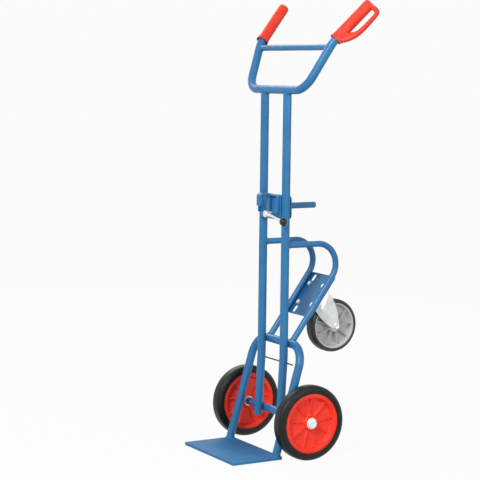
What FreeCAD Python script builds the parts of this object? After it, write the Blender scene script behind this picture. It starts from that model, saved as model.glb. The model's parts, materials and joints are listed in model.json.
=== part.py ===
import FreeCAD, Part
import math
import os
import re

import Sketcher
from FreeCAD import Placement, Rotation, Vector

# Drum trolley: a tube frame with a toe plate, two large wheels, a swivel castor behind
# and a sliding rim hook. Millimetres, +Z up, +Y to the rear, where the user stands, and +X to the
# user's left. The origin is on the floor, in the middle of the toe plate.

# Driving dimensions
SIZES = [
    ("weld_gap", 0.3, "gap left between welded or seated pieces"),
    ("tube_od", 30, "main tubes"),
    ("tube_wall", 2.5, "wall of the uprights and the leg hoop"),
    ("handle_wall", 2, "wall of the handle bow"),
    ("bow_od", 22, "castor bows and handle crossbar"),
    ("bow_wall", 1.5, "wall of the thinner tubes"),
    ("upright_half", 76, "uprights from the middle plane"),
    ("upright_y", 160, "uprights behind the middle of the toe plate"),
    ("upright_bend_z", 340, "height where the uprights lean forward"),
    ("upright_lean", 2.9, "degrees of that lean"),
    ("upright_bend", 400, "radius of that bend"),
    ("upright_tail", 24, "upright below the axle"),
    ("handle_z", 1287, "middle of the handle bow's bottom bar"),
    ("handle_half", 188, "corner of the handle bow"),
    ("handle_bend", 75, "bend radius at that corner"),
    ("knee_half", 242, "knee of the handle bow"),
    ("knee_back", 77, "knee behind the uprights"),
    ("knee_rise", 165, "knee above the bottom bar"),
    ("knee_bend", 110, "bend radius at the knee"),
    ("handle_end_half", 282, "end of the handle bow"),
    ("handle_end_back", 199, "end behind the uprights"),
    ("handle_end_rise", 298, "end above the bottom bar"),
    ("crossbar_rise", 148, "crossbar above the bottom bar"),
    ("grip_od", 40, "grip sleeve"),
    ("grip_length", 164, "grip sleeve along the tube"),
    ("grip_cap", 6, "closed end of the grip"),
    ("guard_offset", 50, "knuckle guard from the grip's middle line"),
    ("guard_tilt", 48, "degrees of the guard below level, outwards"),
    ("guard_width", 18, "knuckle guard"),
    ("guard_thickness", 10, "knuckle guard"),
    ("guard_flare", 40, "where the guard's lower root reaches its full offset"),
    ("guard_web", 34, "lower end of the finger gap"),
    ("hoop_z", 388, "crosspart of the leg hoop"),
    ("leg_half", 162, "legs from the middle plane"),
    ("hoop_bend", 74, "bend radius of the leg hoop"),
    ("foot_front", 82, "foot in front of the uprights"),
    ("toe_margin", 1, "toe plate beyond the legs on each side"),
    ("toe_depth", 200, "toe plate"),
    ("toe_thickness", 10, "toe plate"),
    ("toe_corner", 6, "corner radius of the toe plate"),
    ("axle_tube_od", 28, "axle tube"),
    ("axle_od", 20, "axle"),
    ("axle_clearance", 0.05, "radial play of the axle in tube and bearings"),
    ("tyre_depth", 26.5, "rubber between the rim and the tread"),
    ("wheel_width", 52, "tyre width"),
    ("leg_room", 15, "room between a leg and its wheel"),
    ("rim_od", 212, "outer edge of the red rim"),
    ("rim_web", 7, "web of the rim"),
    ("rim_recess", 3, "rim's face in from the tyre's side"),
    ("rim_ring", 14, "radial depth of the rim's edge ring"),
    ("rim_slope", 8, "radial rise from the web to the edge ring"),
    ("bead_depth", 6, "tyre's foot below the rim's edge"),
    ("bead_inset", 9, "tyre's foot in from the tyre's side"),
    ("hub_bevel", 4, "radial bevel of the hub's end"),
    ("hub_taper", 6, "that bevel along the hub"),
    ("rib_inset", 6, "ribs in from the faces of hub and rim"),
    ("hub_od", 52, "hub of the rim"),
    ("hub_length", 36, "hub of the rim"),
    ("rib_count", 9, "ribs on each side of the rim"),
    ("rib_thickness", 4, "ribs"),
    ("bearing_od", 32, "roller bearing in the hub"),
    ("side_play", 0.4, "play along the axle on each side of a hub"),
    ("washer_od", 36, "axle washers"),
    ("washer_thickness", 3, "axle washers"),
    ("cap_od", 40, "hub cap on the axle's end"),
    ("cap_depth", 9, "hub cap"),
    ("cap_wall", 1.5, "hub cap"),
    ("strap_rod_od", 5, "strap rod"),
    ("strap_rod_z", 318, "strap rod"),
    ("strap_rod_half", 112, "half length of the strap rod"),
    ("bow_top_z", 741, "top run of the castor bows"),
    ("bow_bend", 76, "bend radius of the castor bows"),
    ("bow_slope", 54, "degrees between the bows' lower run and the floor"),
    ("king_along", 206, "king pin up the slope from the hoop's crosspart"),
    ("plate_lip", 3, "castor plate beyond the bows' middle lines"),
    ("plate_length", 176, "castor plate along the slope"),
    ("plate_thickness", 4, "castor plate"),
    ("plate_hole", 11, "holes of the castor plate"),
    ("bolt_pitch_x", 92, "castor bolts across"),
    ("bolt_pitch_y", 80, "castor bolts along"),
    ("slot_pitch_y", 134, "spare slots along"),
    ("slot_length", 30, "spare slots along"),
    ("slot_width", 20, "spare slots across"),
    ("bolt_od", 10, "castor bolts"),
    ("head_width", 16, "bolt heads and nuts across flats"),
    ("head_height", 7, "bolt heads"),
    ("bolt_end", 2, "bolt beyond its nut"),
    ("nut_height", 8, "nuts"),
    ("top_plate_width", 120, "castor top plate across"),
    ("top_plate_length", 108, "castor top plate along"),
    ("top_plate_thickness", 4, "castor top plate"),
    ("race_od", 76, "ball race"),
    ("race_height", 7, "each half of the ball race"),
    ("race_gap", 5, "gap in the race that the balls fill"),
    ("ball_od", 8, "balls"),
    ("ball_count", 20, "balls"),
    ("ball_circle", 56, "circle of the balls"),
    ("ball_clearance", 0.15, "play of a ball in its groove"),
    ("king_pin_od", 14, "king pin"),
    ("king_nut_width", 22, "king pin nut across flats"),
    ("king_clearance", 0.06, "radial play on the king pin"),
    ("castor_drop", 55, "castor wheel's tread from the bows' plane"),
    ("castor_trail", 43, "castor wheel behind the king pin"),
    ("castor_tyre_depth", 13.5, "rubber between the castor rim and the tread"),
    ("castor_width", 46, "castor tyre"),
    ("castor_rim_od", 168, "castor rim"),
    ("castor_hub_od", 46, "castor hub"),
    ("castor_web", 5, "web of the castor rim"),
    ("castor_recess", 2, "castor rim's face in from the tyre's side"),
    ("castor_ring", 6, "radial depth of the castor rim's edge ring"),
    ("castor_slope", 7, "radial rise from the web to that ring"),
    ("castor_bead_depth", 5, "castor tyre's foot below the rim's edge"),
    ("castor_bead_inset", 7, "castor tyre's foot in from its side"),
    ("castor_hub_bevel", 3, "radial bevel of the castor hub's end"),
    ("castor_hub_taper", 5, "that bevel along the hub"),
    ("castor_rib_inset", 5, "castor ribs in from the faces of hub and rim"),
    ("castor_rib_count", 9, "ribs on each side of the castor rim"),
    ("castor_rib_thickness", 3, "ribs of the castor rim"),
    ("castor_hub_length", 56, "castor hub"),
    ("castor_bore", 20, "bore of the castor hub for its bush"),
    ("castor_axle_od", 12, "castor axle bolt"),
    ("castor_nut_width", 18, "castor axle head and nut across flats"),
    ("fork_thickness", 3.5, "fork sheet"),
    ("fork_crown", 85, "width of the fork's crown along the trail"),
    ("fork_eye", 16, "radius of the fork at the axle"),
    ("carriage_z", 874, "middle of the hook carriage"),
    ("carriage_travel_room", 0.3, "gap between the carriage and the uprights"),
    ("front_half", 72, "half width of the front plate"),
    ("front_height", 87, "front plate"),
    ("front_top", 44, "front plate above the carriage's middle"),
    ("front_thickness", 4, "folded front plate"),
    ("flange_half", 64, "outer face of the flanges"),
    ("flange_rise", 20, "flanges above the front plate's lower edge"),
    ("flange_reach", 12, "flanges in front of the plate"),
    ("rear_half", 84, "half width of the rear plate"),
    ("rear_height", 82, "rear plate"),
    ("rear_thickness", 5, "rear plate"),
    ("rear_corner", 14, "corner radius of the rear plate"),
    ("hook_width", 24, "drum hook"),
    ("hook_thickness", 11, "drum hook"),
    ("hook_reach", 69, "tip of the hook in front of the uprights"),
    ("hook_top", 922, "top of the hook"),
    ("hook_drop", 44, "hook finger below its top"),
    ("hook_leg", 60, "back of the hook on the front plate, below its top"),
    ("peg_od", 22, "peg"),
    ("peg_length", 148, "peg"),
    ("peg_wall", 3, "wall of the peg"),
    ("screw_z", 848, "clamp screw"),
    ("screw_od", 12, "clamp screw"),
    ("screw_nut_width", 19, "clamp nut across flats"),
    ("screw_clearance", 0.08, "radial play of the clamp screw"),
    ("lever_od", 10, "clamp lever"),
    ("lever_length", 127, "clamp lever to the knob's middle"),
    ("lever_droop", 8.3, "degrees below level"),
    ("lever_rake", 4, "degrees that the lever stands off the uprights"),
    ("lever_hub_od", 24, "hub of the clamp lever"),
    ("lever_hub_length", 22, "hub of the clamp lever"),
    ("knob_od", 28, "ball knob"),
]

doc = FreeCAD.newDocument("drum_trolley")
sheet = doc.addObject("Spreadsheet::Sheet", "Sizes")
for row, (alias, number, note) in enumerate(SIZES, 1):
    sheet.set(f"A{row}", note)
    sheet.set(f"B{row}", str(number))
    sheet.setAlias(f"B{row}", alias)
doc.recompute()

ALIAS = re.compile(r"\b(" + "|".join(alias for alias, _, _ in SIZES) + r")\b")


def cell(text):
    """an expression in plain alias words, with each alias pointed at the sheet"""
    return ALIAS.sub(r"Sizes.\1", str(text))


def val(text):
    return float(sheet.evalExpression(cell(text)))


def bind(item, prop, text):
    item.setExpression(prop, cell(text))


def place(item, base, rotation=None):
    """puts an object at a base of three expressions"""
    item.Placement = Placement(Vector(*[val(text) for text in base]), rotation or Rotation())
    for axis, text in zip("xyz", base):
        bind(item, f"Placement.Base.{axis}", text)


# Basic solids

ALONG = {
    "X": Rotation(Vector(0, 1, 0), 90),
    "Y": Rotation(Vector(1, 0, 0), -90),
    "Z": Rotation(),
}


def cylinder(name, radius, length, base, along="Z"):
    item = doc.addObject("Part::Cylinder", name)
    bind(item, "Radius", radius)
    bind(item, "Height", length)
    place(item, base, ALONG[along])
    return item


def box(name, size, base):
    item = doc.addObject("Part::Box", name)
    for prop, text in zip(("Length", "Width", "Height"), size):
        bind(item, prop, text)
    place(item, base)
    return item


def prism(name, across_flats, height, base, along="Z"):
    """a hexagonal nut or bolt head"""
    item = doc.addObject("Part::Prism", name)
    item.Polygon = 6
    bind(item, "Circumradius", f"({across_flats}) / sqrt(3)")
    bind(item, "Height", height)
    place(item, base, ALONG[along])
    return item


def cut(name, base, tool):
    item = doc.addObject("Part::Cut", name)
    item.Base = base
    item.Tool = tool
    return item


def fuse(name, shapes):
    item = doc.addObject("Part::MultiFuse", name)
    item.Shapes = shapes
    return item


def group(name, shapes):
    """several separate solids that share one node"""
    item = doc.addObject("Part::Compound", name)
    item.Links = shapes
    return item


def profile(name, points, rotation=None, base=("0", "0", "0")):
    """a closed sketch of straight lines whose corners are bound to expressions"""
    sketch = doc.addObject("Sketcher::SketchObject", name)
    corners = [Vector(val(a), val(b), 0) for a, b in points]
    count = len(corners)
    for i in range(count):
        sketch.addGeometry(Part.LineSegment(corners[i], corners[(i + 1) % count]), False)
    for i in range(count):
        sketch.addConstraint(Sketcher.Constraint("Coincident", i, 2, (i + 1) % count, 1))
    for i, texts in enumerate(points):
        for kind, text, number in zip(("DistanceX", "DistanceY"), texts, corners[i]):
            index = sketch.addConstraint(Sketcher.Constraint(kind, -1, 1, i, 1, number))
            bind(sketch, f"Constraints[{index}]", text)
    place(sketch, base, rotation)
    return sketch


def revolve(name, points):
    """a solid of revolution about X: the points are distances along X and radii"""
    item = doc.addObject("Part::Revolution", name)
    item.Source = profile(name + "_profile", points)
    item.Axis = (1, 0, 0)
    item.Angle = 360
    item.Solid = True
    return item


def extrude(name, sketch, length, symmetric=False):
    item = doc.addObject("Part::Extrusion", name)
    item.Base = sketch
    item.DirMode = "Normal"
    bind(item, "LengthFwd", length)
    item.Symmetric = symmetric
    item.Solid = True
    return item


def rounded(name, base, radius, wanted):
    """rounds the straight edges of base for which wanted(edge) holds"""
    doc.recompute()
    item = doc.addObject("Part::Fillet", name)
    item.Base = base
    size = val(radius)
    item.Edges = [(i, size, size) for i, edge in enumerate(base.Shape.Edges, 1) if wanted(edge)]
    return item


def runs_along(edge, direction):
    if len(edge.Vertexes) < 2 or not isinstance(edge.Curve, Part.Line):
        return False
    way = edge.Vertexes[-1].Point - edge.Vertexes[0].Point
    return way.normalize().cross(direction).Length < 1e-6


def upright_edge(edge):
    return runs_along(edge, Vector(0, 0, 1))


# Bent tubes

def bent_wire(points, radii):
    """straight runs through the points, with a tangent arc of the given radius at each corner"""
    edges = []
    start = points[0]
    for before, corner, after, radius in zip(points, points[1:], points[2:], radii):
        inward = (before - corner).normalize()
        outward = (after - corner).normalize()
        half_turn = (math.pi - inward.getAngle(outward)) / 2
        reach = radius * math.tan(half_turn)
        first = corner + inward * reach
        last = corner + outward * reach
        to_middle = (inward + outward).normalize()
        middle = corner + to_middle * (radius / math.cos(half_turn) - radius)
        edges.append(Part.LineSegment(start, first).toShape())
        edges.append(Part.Arc(first, middle, last).toShape())
        start = last
    edges.append(Part.LineSegment(start, points[-1]).toShape())
    return Part.Wire(edges)


def sweep(name, path, radius):
    ring = doc.addObject("Part::Circle", name + "_ring")
    bind(ring, "Radius", radius)
    first = path.Shape.Edges[0]
    heading = first.tangentAt(first.FirstParameter)
    ring.Placement = Placement(first.Vertexes[0].Point, Rotation(Vector(0, 0, 1), heading))
    item = doc.addObject("Part::Sweep", name)
    item.Sections = [ring]
    item.Spine = (path, [f"Edge{i}" for i in range(1, len(path.Shape.Edges) + 1)])
    item.Solid = True
    return item


def tube(name, points, radii, outer, wall):
    path = doc.addObject("Part::Feature", name + "_path")
    path.Shape = bent_wire(points, radii)
    skin = sweep(name + "_skin", path, f"({outer}) / 2")
    bore = sweep(name + "_bore", path, f"({outer}) / 2 - {wall}")
    return cut(name, skin, bore)


# Places that several pieces share

SIDES = (("left", 1), ("right", -1))
LEAN = "tan(upright_lean * 1 deg)"
AXLE_Z = "(rim_od / 2 + tyre_depth)"
WHEEL_MID = "(leg_half + tube_od / 2 + leg_room + wheel_width / 2)"
TOE_WIDTH = "(2 * leg_half + tube_od + 2 * toe_margin)"
AXLE_Y = (
    f"upright_y - (upright_bend_z - {AXLE_Z}) * {LEAN}"
    " + tube_od / 2 / cos(upright_lean * 1 deg) + axle_tube_od / 2 + weld_gap"
)
HOOP_Y = "upright_y + tube_od + weld_gap"


def point(x, y, z):
    return Vector(val(x), val(y), val(z))


def mirrored(at):
    return Vector(-at.x, at.y, at.z)


def rod(name, radius, start, end):
    """a cylinder from one point to another"""
    item = doc.addObject("Part::Cylinder", name)
    bind(item, "Radius", radius)
    item.Height = (end - start).Length
    item.Placement = Placement(start, Rotation(Vector(0, 0, 1), end - start))
    return item


parts = {}


def sub_part(node, item):
    item.Label = node
    parts[node] = item


# Uprights, saddled on the handle bow's bottom bar

for side, sign in SIDES:
    x = f"{sign} * upright_half"
    low_z = f"{AXLE_Z} - upright_tail"
    top = point(x, "upright_y", "handle_z")
    bend = point(x, "upright_y", "upright_bend_z")
    low = point(x, f"upright_y - (upright_bend_z - ({low_z})) * {LEAN}", low_z)
    bends = [val("upright_bend")]
    pipe = tube(f"upright_{side}_pipe", [top, bend, low], bends, "tube_od", "tube_wall")
    saddle = cylinder(
        f"upright_{side}_saddle", "tube_od / 2 + weld_gap", "2 * tube_od",
        (f"{x} - tube_od", "upright_y", "handle_z"), "X",
    )
    sub_part(f"upright_{side}", cut(f"upright_{side}_cut", pipe, saddle))

# Handle bow, its crossbar and the safety grips

corner = point("handle_half", "upright_y", "handle_z")
knee = point("knee_half", "upright_y + knee_back", "handle_z + knee_rise")
tip = point("handle_end_half", "upright_y + handle_end_back", "handle_z + handle_end_rise")
sub_part(
    "handle_bow",
    tube(
        "handle_bow_pipe",
        [mirrored(tip), mirrored(knee), mirrored(corner), corner, knee, tip],
        [val("knee_bend"), val("handle_bend"), val("handle_bend"), val("knee_bend")],
        "tube_od", "handle_wall",
    ),
)

bar_end = corner + (knee - corner) * val("crossbar_rise / knee_rise")
crossbar = tube("crossbar_pipe", [mirrored(bar_end), bar_end], [], "bow_od", "bow_wall")
notches = [
    rod(f"crossbar_notch_{side}", "tube_od / 2 + weld_gap", low, high)
    for side, low, high in (("left", corner, knee), ("right", mirrored(corner), mirrored(knee)))
]
sub_part("handle_crossbar", cut("crossbar_cut", crossbar, fuse("crossbar_notches", notches)))


def guard_corner(edge):
    return runs_along(edge, Vector(0, 1, 0)) and edge.CenterOfMass.x > val("guard_offset")


for side, sign in SIDES:
    end = tip if sign > 0 else mirrored(tip)
    along = (end - (knee if sign > 0 else mirrored(knee))).normalize()
    tilt = math.radians(val("guard_tilt"))
    outward = Vector(sign * math.cos(tilt), 0, -math.sin(tilt))
    outward = (outward - along * outward.dot(along)).normalize()
    high = "grip_length + grip_cap"
    sleeve = cylinder(f"grip_{side}_sleeve", "grip_od / 2", high, ("0", "0", "0"))
    inner = "guard_offset - guard_thickness / 2"
    outer = "guard_offset + guard_thickness / 2"
    root = "grip_od / 2 - guard_thickness / 2"
    top_web = f"{high} - guard_thickness"
    loop = profile(
        f"grip_{side}_loop",
        [
            (root, "0"), (outer, "guard_flare"), (outer, high), (root, high),
            (root, top_web), (inner, top_web), (inner, "guard_flare + guard_thickness"),
            ("grip_od / 2", "guard_web"), (root, "guard_web"),
        ],
        ALONG["Y"].inverted(),
    )
    guard = extrude(f"grip_{side}_guard", loop, "guard_width", symmetric=True)
    soft = rounded(f"grip_{side}_soft", guard, "guard_thickness * 1.4", guard_corner)
    bore = cylinder(f"grip_{side}_bore", "tube_od / 2", "grip_length", ("0", "0", "0"))
    grip = cut(f"grip_{side}_cut", fuse(f"grip_{side}_body", [sleeve, soft]), bore)
    grip.Placement = Placement(
        end - along * val("grip_length"),
        Rotation(outward, along.cross(outward), along, "ZXY"),
    )
    sub_part(f"grip_{side}", grip)

# Leg hoop, toe plate and strap rod

foot = point("leg_half", "upright_y - foot_front", "0")
shoulder = point("leg_half", HOOP_Y, "hoop_z")
buried = shoulder + (foot - shoulder) * val("(hoop_z + tube_od) / hoop_z")
hoop = tube(
    "leg_hoop_pipe",
    [mirrored(buried), mirrored(shoulder), shoulder, buried],
    [val("hoop_bend"), val("hoop_bend")],
    "tube_od", "tube_wall",
)
ground = box(
    "leg_hoop_ground",
    ("4 * leg_half", "4 * leg_half", "4 * tube_od"),
    ("-2 * leg_half", "-2 * leg_half", "toe_thickness + weld_gap - 4 * tube_od"),
)
sub_part("leg_hoop", cut("leg_hoop_cut", hoop, ground))

toe = box(
    "toe_blank", (TOE_WIDTH, "toe_depth", "toe_thickness"), (f"-{TOE_WIDTH} / 2", "-toe_depth / 2", "0"),
)
sub_part("toe_plate", rounded("toe_rounded", toe, "toe_corner", upright_edge))

sub_part(
    "strap_rod",
    cylinder(
        "strap_rod_bar", "strap_rod_od / 2", "2 * strap_rod_half",
        (
            "-strap_rod_half",
            f"upright_y - (upright_bend_z - strap_rod_z) * {LEAN}"
            " + (tube_od + strap_rod_od) / 2 + weld_gap",
            "strap_rod_z",
        ),
        "X",
    ),
)

# Axle, its tube, washers and hub caps

HUB_IN = f"{WHEEL_MID} - hub_length / 2 - side_play"
HUB_OUT = f"{WHEEL_MID} + hub_length / 2 + side_play"
TUBE_HALF = f"{HUB_IN} - washer_thickness"
CAP_IN = f"{HUB_OUT} + washer_thickness"
AXLE_HALF = f"{CAP_IN} + cap_depth - cap_wall"


def ring(name, outer, inner, low, high):
    """a ring about the axle's line, between two distances from the middle plane"""
    length = f"({high}) - ({low})"
    blank = cylinder(f"{name}_blank", outer, length, (low, AXLE_Y, AXLE_Z), "X")
    hole = cylinder(f"{name}_hole", inner, length, (low, AXLE_Y, AXLE_Z), "X")
    return cut(name, blank, hole)


AXLE_BORE = "axle_od / 2 + axle_clearance"
AXLE_START = (f"-({AXLE_HALF})", AXLE_Y, AXLE_Z)
sub_part("axle", cylinder("axle_bar", "axle_od / 2", f"2 * ({AXLE_HALF})", AXLE_START, "X"))
sub_part("axle_tube", ring("axle_tube_ring", "axle_tube_od / 2", AXLE_BORE, f"-({TUBE_HALF})", TUBE_HALF))


def on_side(sign, low, high):
    """a span from the middle plane outwards, for the left side or mirrored for the right"""
    return (low, high) if sign > 0 else (f"-({high})", f"-({low})")


def cap_face_edge(edge):
    """the outer rim of a hub cap"""
    flat = edge.BoundBox.XLength < 1e-6
    return flat and abs(edge.CenterOfMass.x) > val(f"{CAP_IN} + cap_depth / 2")


washers = []
caps = []
for side, sign in SIDES:
    for name, low, high in (("inner", TUBE_HALF, HUB_IN), ("outer", HUB_OUT, CAP_IN)):
        first, last = on_side(sign, low, high)
        washers.append(ring(f"washer_{name}_{side}", "washer_od / 2", AXLE_BORE, first, last))
    first = on_side(sign, CAP_IN, f"{CAP_IN} + cap_depth")[0]
    dome = cylinder(f"cap_{side}_dome", "cap_od / 2", "cap_depth", (first, AXLE_Y, AXLE_Z), "X")
    soft = rounded(f"cap_{side}_soft", dome, "cap_depth / 3", cap_face_edge)
    first = on_side(sign, CAP_IN, AXLE_HALF)[0]
    socket = cylinder(
        f"cap_{side}_socket", "axle_od / 2", "cap_depth - cap_wall", (first, AXLE_Y, AXLE_Z), "X",
    )
    caps.append(cut(f"cap_{side}", soft, socket))
sub_part("axle_washers", group("washer_set", washers))
sub_part("hub_caps", group("cap_set", caps))

# Large wheels: roller bearing, ribbed rim and solid tyre

FACE = "wheel_width / 2 - rim_recess"
SEAT = "rim_od / 2 - bead_depth"
BEAD = "wheel_width / 2 - bead_inset"


def both_sides(points):
    """mirrors half of a wheel's outline, given from its inner to its outer radius"""
    return points + [(f"-({a})", b) for a, b in reversed(points)]


def turned(name, points, at, frame=Placement()):
    item = revolve(name, points)
    item.Placement = frame.multiply(Placement(at, Rotation()))
    return item


# A tyre's side, from the rim to the tread: shares of its width and of its depth
TYRE_SIDE = ((0.48, 0), (0.5, 0.33), (0.46, 0.63), (0.4, 0.83), (0.29, 0.96), (0.19, 1))


def tyre_outline(width, rim, depth, bead, seat):
    side = [(f"{width} * {across}", f"{rim} / 2 + {depth} * {up}") for across, up in TYRE_SIDE]
    return both_sides([(bead, seat), (bead, f"{rim} / 2")] + side)


RIM_OUTLINE = both_sides([
    ("hub_length / 2", "bearing_od / 2"),
    ("hub_length / 2", "hub_od / 2 - hub_bevel"),
    ("hub_length / 2 - hub_taper", "hub_od / 2"),
    ("rim_web / 2", "hub_od / 2 + hub_bevel"),
    ("rim_web / 2", "rim_od / 2 - rim_ring - rim_slope"),
    (FACE, "rim_od / 2 - rim_ring"),
    (FACE, "rim_od / 2"),
    (BEAD, "rim_od / 2"),
    (BEAD, SEAT),
])
TYRE_OUTLINE = tyre_outline("wheel_width", "rim_od", "tyre_depth", BEAD, SEAT)
RIB_OUTLINE = both_sides([
    ("hub_length / 2 - rib_inset", "hub_od / 2 - hub_bevel / 4"),
    (f"{FACE} - rib_inset", "rim_od / 2 - rim_ring - rim_slope / 4"),
])


def ribs(name, outline, thickness, count):
    """flat radial ribs, spaced evenly about X"""
    made = []
    for number in range(count):
        flat = profile(f"{name}_outline_{number}", outline)
        rib = extrude(f"{name}_{number}", flat, thickness, symmetric=True)
        rib.Placement = Placement(Vector(), Rotation(Vector(1, 0, 0), 90 + 360 / count * number))
        made.append(rib)
    return made


for side, sign in SIDES:
    hub = Vector(sign * val(WHEEL_MID), val(AXLE_Y), val(AXLE_Z))
    disc = revolve(f"rim_{side}_disc", RIM_OUTLINE)
    spokes = ribs(f"rim_{side}_rib", RIB_OUTLINE, "rib_thickness", round(val("rib_count")))
    rim = fuse(f"rim_{side}", [disc] + spokes)
    rim.Placement = Placement(hub, Rotation())
    sub_part(f"wheel_{side}_rim", rim)
    sub_part(f"wheel_{side}_tyre", turned(f"tyre_{side}", TYRE_OUTLINE, hub))
    sub_part(
        f"wheel_{side}_bearing",
        ring(
            f"bearing_{side}", "bearing_od / 2", AXLE_BORE,
            f"{sign} * {WHEEL_MID} - hub_length / 2", f"{sign} * {WHEEL_MID} + hub_length / 2",
        ),
    )

# Castor bows, saddled on the uprights and on the hoop's crosspart

slope = math.radians(val("bow_slope"))
up_slope = Vector(0, math.cos(slope), math.sin(slope))
for side, sign in SIDES:
    x = f"{sign} * upright_half"
    landing = point(x, HOOP_Y, "hoop_z")
    start = point(x, "upright_y", "bow_top_z")
    rear = landing + up_slope * ((val("bow_top_z") - val("hoop_z")) / math.sin(slope))
    pipe = tube(f"castor_bow_{side}_pipe", [start, rear, landing], [val("bow_bend")], "bow_od", "bow_wall")
    post = cylinder(
        f"castor_bow_{side}_post", "tube_od / 2 + weld_gap", "4 * bow_od",
        (x, "upright_y", "bow_top_z - 2 * bow_od"),
    )
    crosspart = cylinder(
        f"castor_bow_{side}_crosspart", "tube_od / 2 + weld_gap", "4 * bow_od",
        (f"{x} - 2 * bow_od", HOOP_Y, "hoop_z"), "X",
    )
    notch = fuse(f"castor_bow_{side}_notch", [post, crosspart])
    sub_part(f"castor_bow_{side}", cut(f"castor_bow_{side}_cut", pipe, notch))

# Swivel castor, drawn about its king pin: Z points out of the bows' plane, Y down the slope

king = point("0", HOOP_Y, "hoop_z") + up_slope * val("king_along")
CASTOR = Placement(king, Rotation(Vector(1, 0, 0), 180 + val("bow_slope")))

PLATE_Z = "bow_od / 2 + weld_gap"
TOP_Z = f"{PLATE_Z} + plate_thickness"
RACE_Z = f"{TOP_Z} + top_plate_thickness"
LOWER_Z = f"{RACE_Z} + race_height + race_gap"
CROWN_Z = f"{LOWER_Z} + race_height"
KING_NUT_Z = f"{CROWN_Z} + fork_thickness + side_play"
BALL_Z = f"{RACE_Z} + race_height + race_gap / 2"
CASTOR_MID = "(castor_drop + castor_rim_od / 2 + castor_tyre_depth)"


def on_castor(node, item):
    """a sub-part drawn about the king pin, moved to its place on the bows"""
    for axis in "xyz":
        item.setExpression(f"Placement.Base.{axis}", None)
    item.Placement = CASTOR.multiply(item.Placement)
    sub_part(node, item)


def four(name, make, pitch_x, pitch_y):
    """four copies at the corners of a rectangle about the king pin"""
    corners = [(a, b) for a in (-0.5, 0.5) for b in (-0.5, 0.5)]
    return [
        make(f"{name}_{number}", f"{a} * {pitch_x}", f"{b} * {pitch_y}")
        for number, (a, b) in enumerate(corners)
    ]


def drilled_plate(name, width, length, thickness, low, corner, holes):
    blank = box(f"{name}_blank", (width, length, thickness), (f"-({width}) / 2", f"-({length}) / 2", low))
    soft = rounded(f"{name}_soft", blank, corner, upright_edge)
    return cut(name, soft, fuse(f"{name}_holes", holes))


DRILL_Z = f"{PLATE_Z} - plate_thickness"
DRILL_DEPTH = "3 * plate_thickness + top_plate_thickness"


def bolt_hole(name, x, y):
    return cylinder(name, "plate_hole / 2", DRILL_DEPTH, (x, y, DRILL_Z))


def spare_slot(name, x, y):
    """a slot with round ends, along the slope"""
    straight = "(slot_length - slot_width)"
    ends = [
        cylinder(f"{name}_{end}", "slot_width / 2", DRILL_DEPTH, (x, f"{y} {way} {straight} / 2", DRILL_Z))
        for end, way in (("low", "-"), ("high", "+"))
    ]
    middle = box(
        f"{name}_middle", ("slot_width", straight, DRILL_DEPTH),
        (f"{x} - slot_width / 2", f"{y} - {straight} / 2", DRILL_Z),
    )
    return fuse(name, ends + [middle])


PLATE_CORNER = "plate_hole"
on_castor(
    "castor_plate",
    drilled_plate(
        "castor_plate_sheet", "2 * upright_half + 2 * plate_lip", "plate_length", "plate_thickness",
        PLATE_Z, PLATE_CORNER,
        four("bolt_hole", bolt_hole, "bolt_pitch_x", "bolt_pitch_y")
        + four("spare_slot", spare_slot, "bolt_pitch_x", "slot_pitch_y"),
    ),
)

pin_hole = cylinder(
    "top_plate_pin_hole", "king_pin_od / 2", "top_plate_thickness + race_height", ("0", "0", TOP_Z),
)
top_sheet = drilled_plate(
    "castor_top_sheet", "top_plate_width", "top_plate_length", "top_plate_thickness", TOP_Z, PLATE_CORNER,
    four("top_hole", bolt_hole, "bolt_pitch_x", "bolt_pitch_y"),
)
upper_race = cylinder("upper_race", "race_od / 2", "race_height", ("0", "0", RACE_Z))


def ball_groove(name):
    item = doc.addObject("Part::Torus", name)
    bind(item, "Radius1", "ball_circle / 2")
    bind(item, "Radius2", "ball_od / 2 + ball_clearance")
    place(item, ("0", "0", BALL_Z))
    return item


on_castor(
    "castor_top_plate",
    cut(
        "castor_top_cut",
        fuse("castor_top_body", [top_sheet, upper_race]),
        fuse("castor_top_tools", [pin_hole, ball_groove("upper_groove")]),
    ),
)


def castor_bolt(name, x, y):
    head = prism(f"{name}_head", "head_width", "head_height", (x, y, f"{PLATE_Z} - head_height"))
    length = "plate_thickness + top_plate_thickness + nut_height + bolt_end"
    shank = cylinder(f"{name}_shank", "bolt_od / 2", length, (x, y, PLATE_Z))
    return fuse(name, [head, shank])


def castor_nut(name, x, y):
    blank = prism(f"{name}_blank", "head_width", "nut_height", (x, y, RACE_Z))
    return cut(name, blank, cylinder(f"{name}_bore", "bolt_od / 2", "nut_height", (x, y, RACE_Z)))


bolts = four("castor_bolt", castor_bolt, "bolt_pitch_x", "bolt_pitch_y")
on_castor("castor_bolts", group("castor_bolt_set", bolts))
nuts = four("castor_nut", castor_nut, "bolt_pitch_x", "bolt_pitch_y")
on_castor("castor_nuts", group("castor_nut_set", nuts))

KING_LENGTH = f"{KING_NUT_Z} + nut_height + bolt_end - ({TOP_Z})"
on_castor("castor_king_pin", cylinder("king_pin_bar", "king_pin_od / 2", KING_LENGTH, ("0", "0", TOP_Z)))
king_nut = prism("king_nut_blank", "king_nut_width", "nut_height", ("0", "0", KING_NUT_Z))
king_bore = cylinder("king_nut_bore", "king_pin_od / 2", "nut_height", ("0", "0", KING_NUT_Z))
on_castor("castor_king_nut", cut("king_nut", king_nut, king_bore))

balls = []
for number in range(round(val("ball_count"))):
    ball = doc.addObject("Part::Sphere", f"ball_{number}")
    bind(ball, "Radius", "ball_od / 2")
    turn = f"{number} * 360 / ball_count * 1 deg"
    place(ball, (f"ball_circle / 2 * cos({turn})", f"ball_circle / 2 * sin({turn})", BALL_Z))
    balls.append(ball)
on_castor("castor_balls", group("ball_set", balls))

# Fork: a crown under the lower race and two legs that trail to the axle

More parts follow.
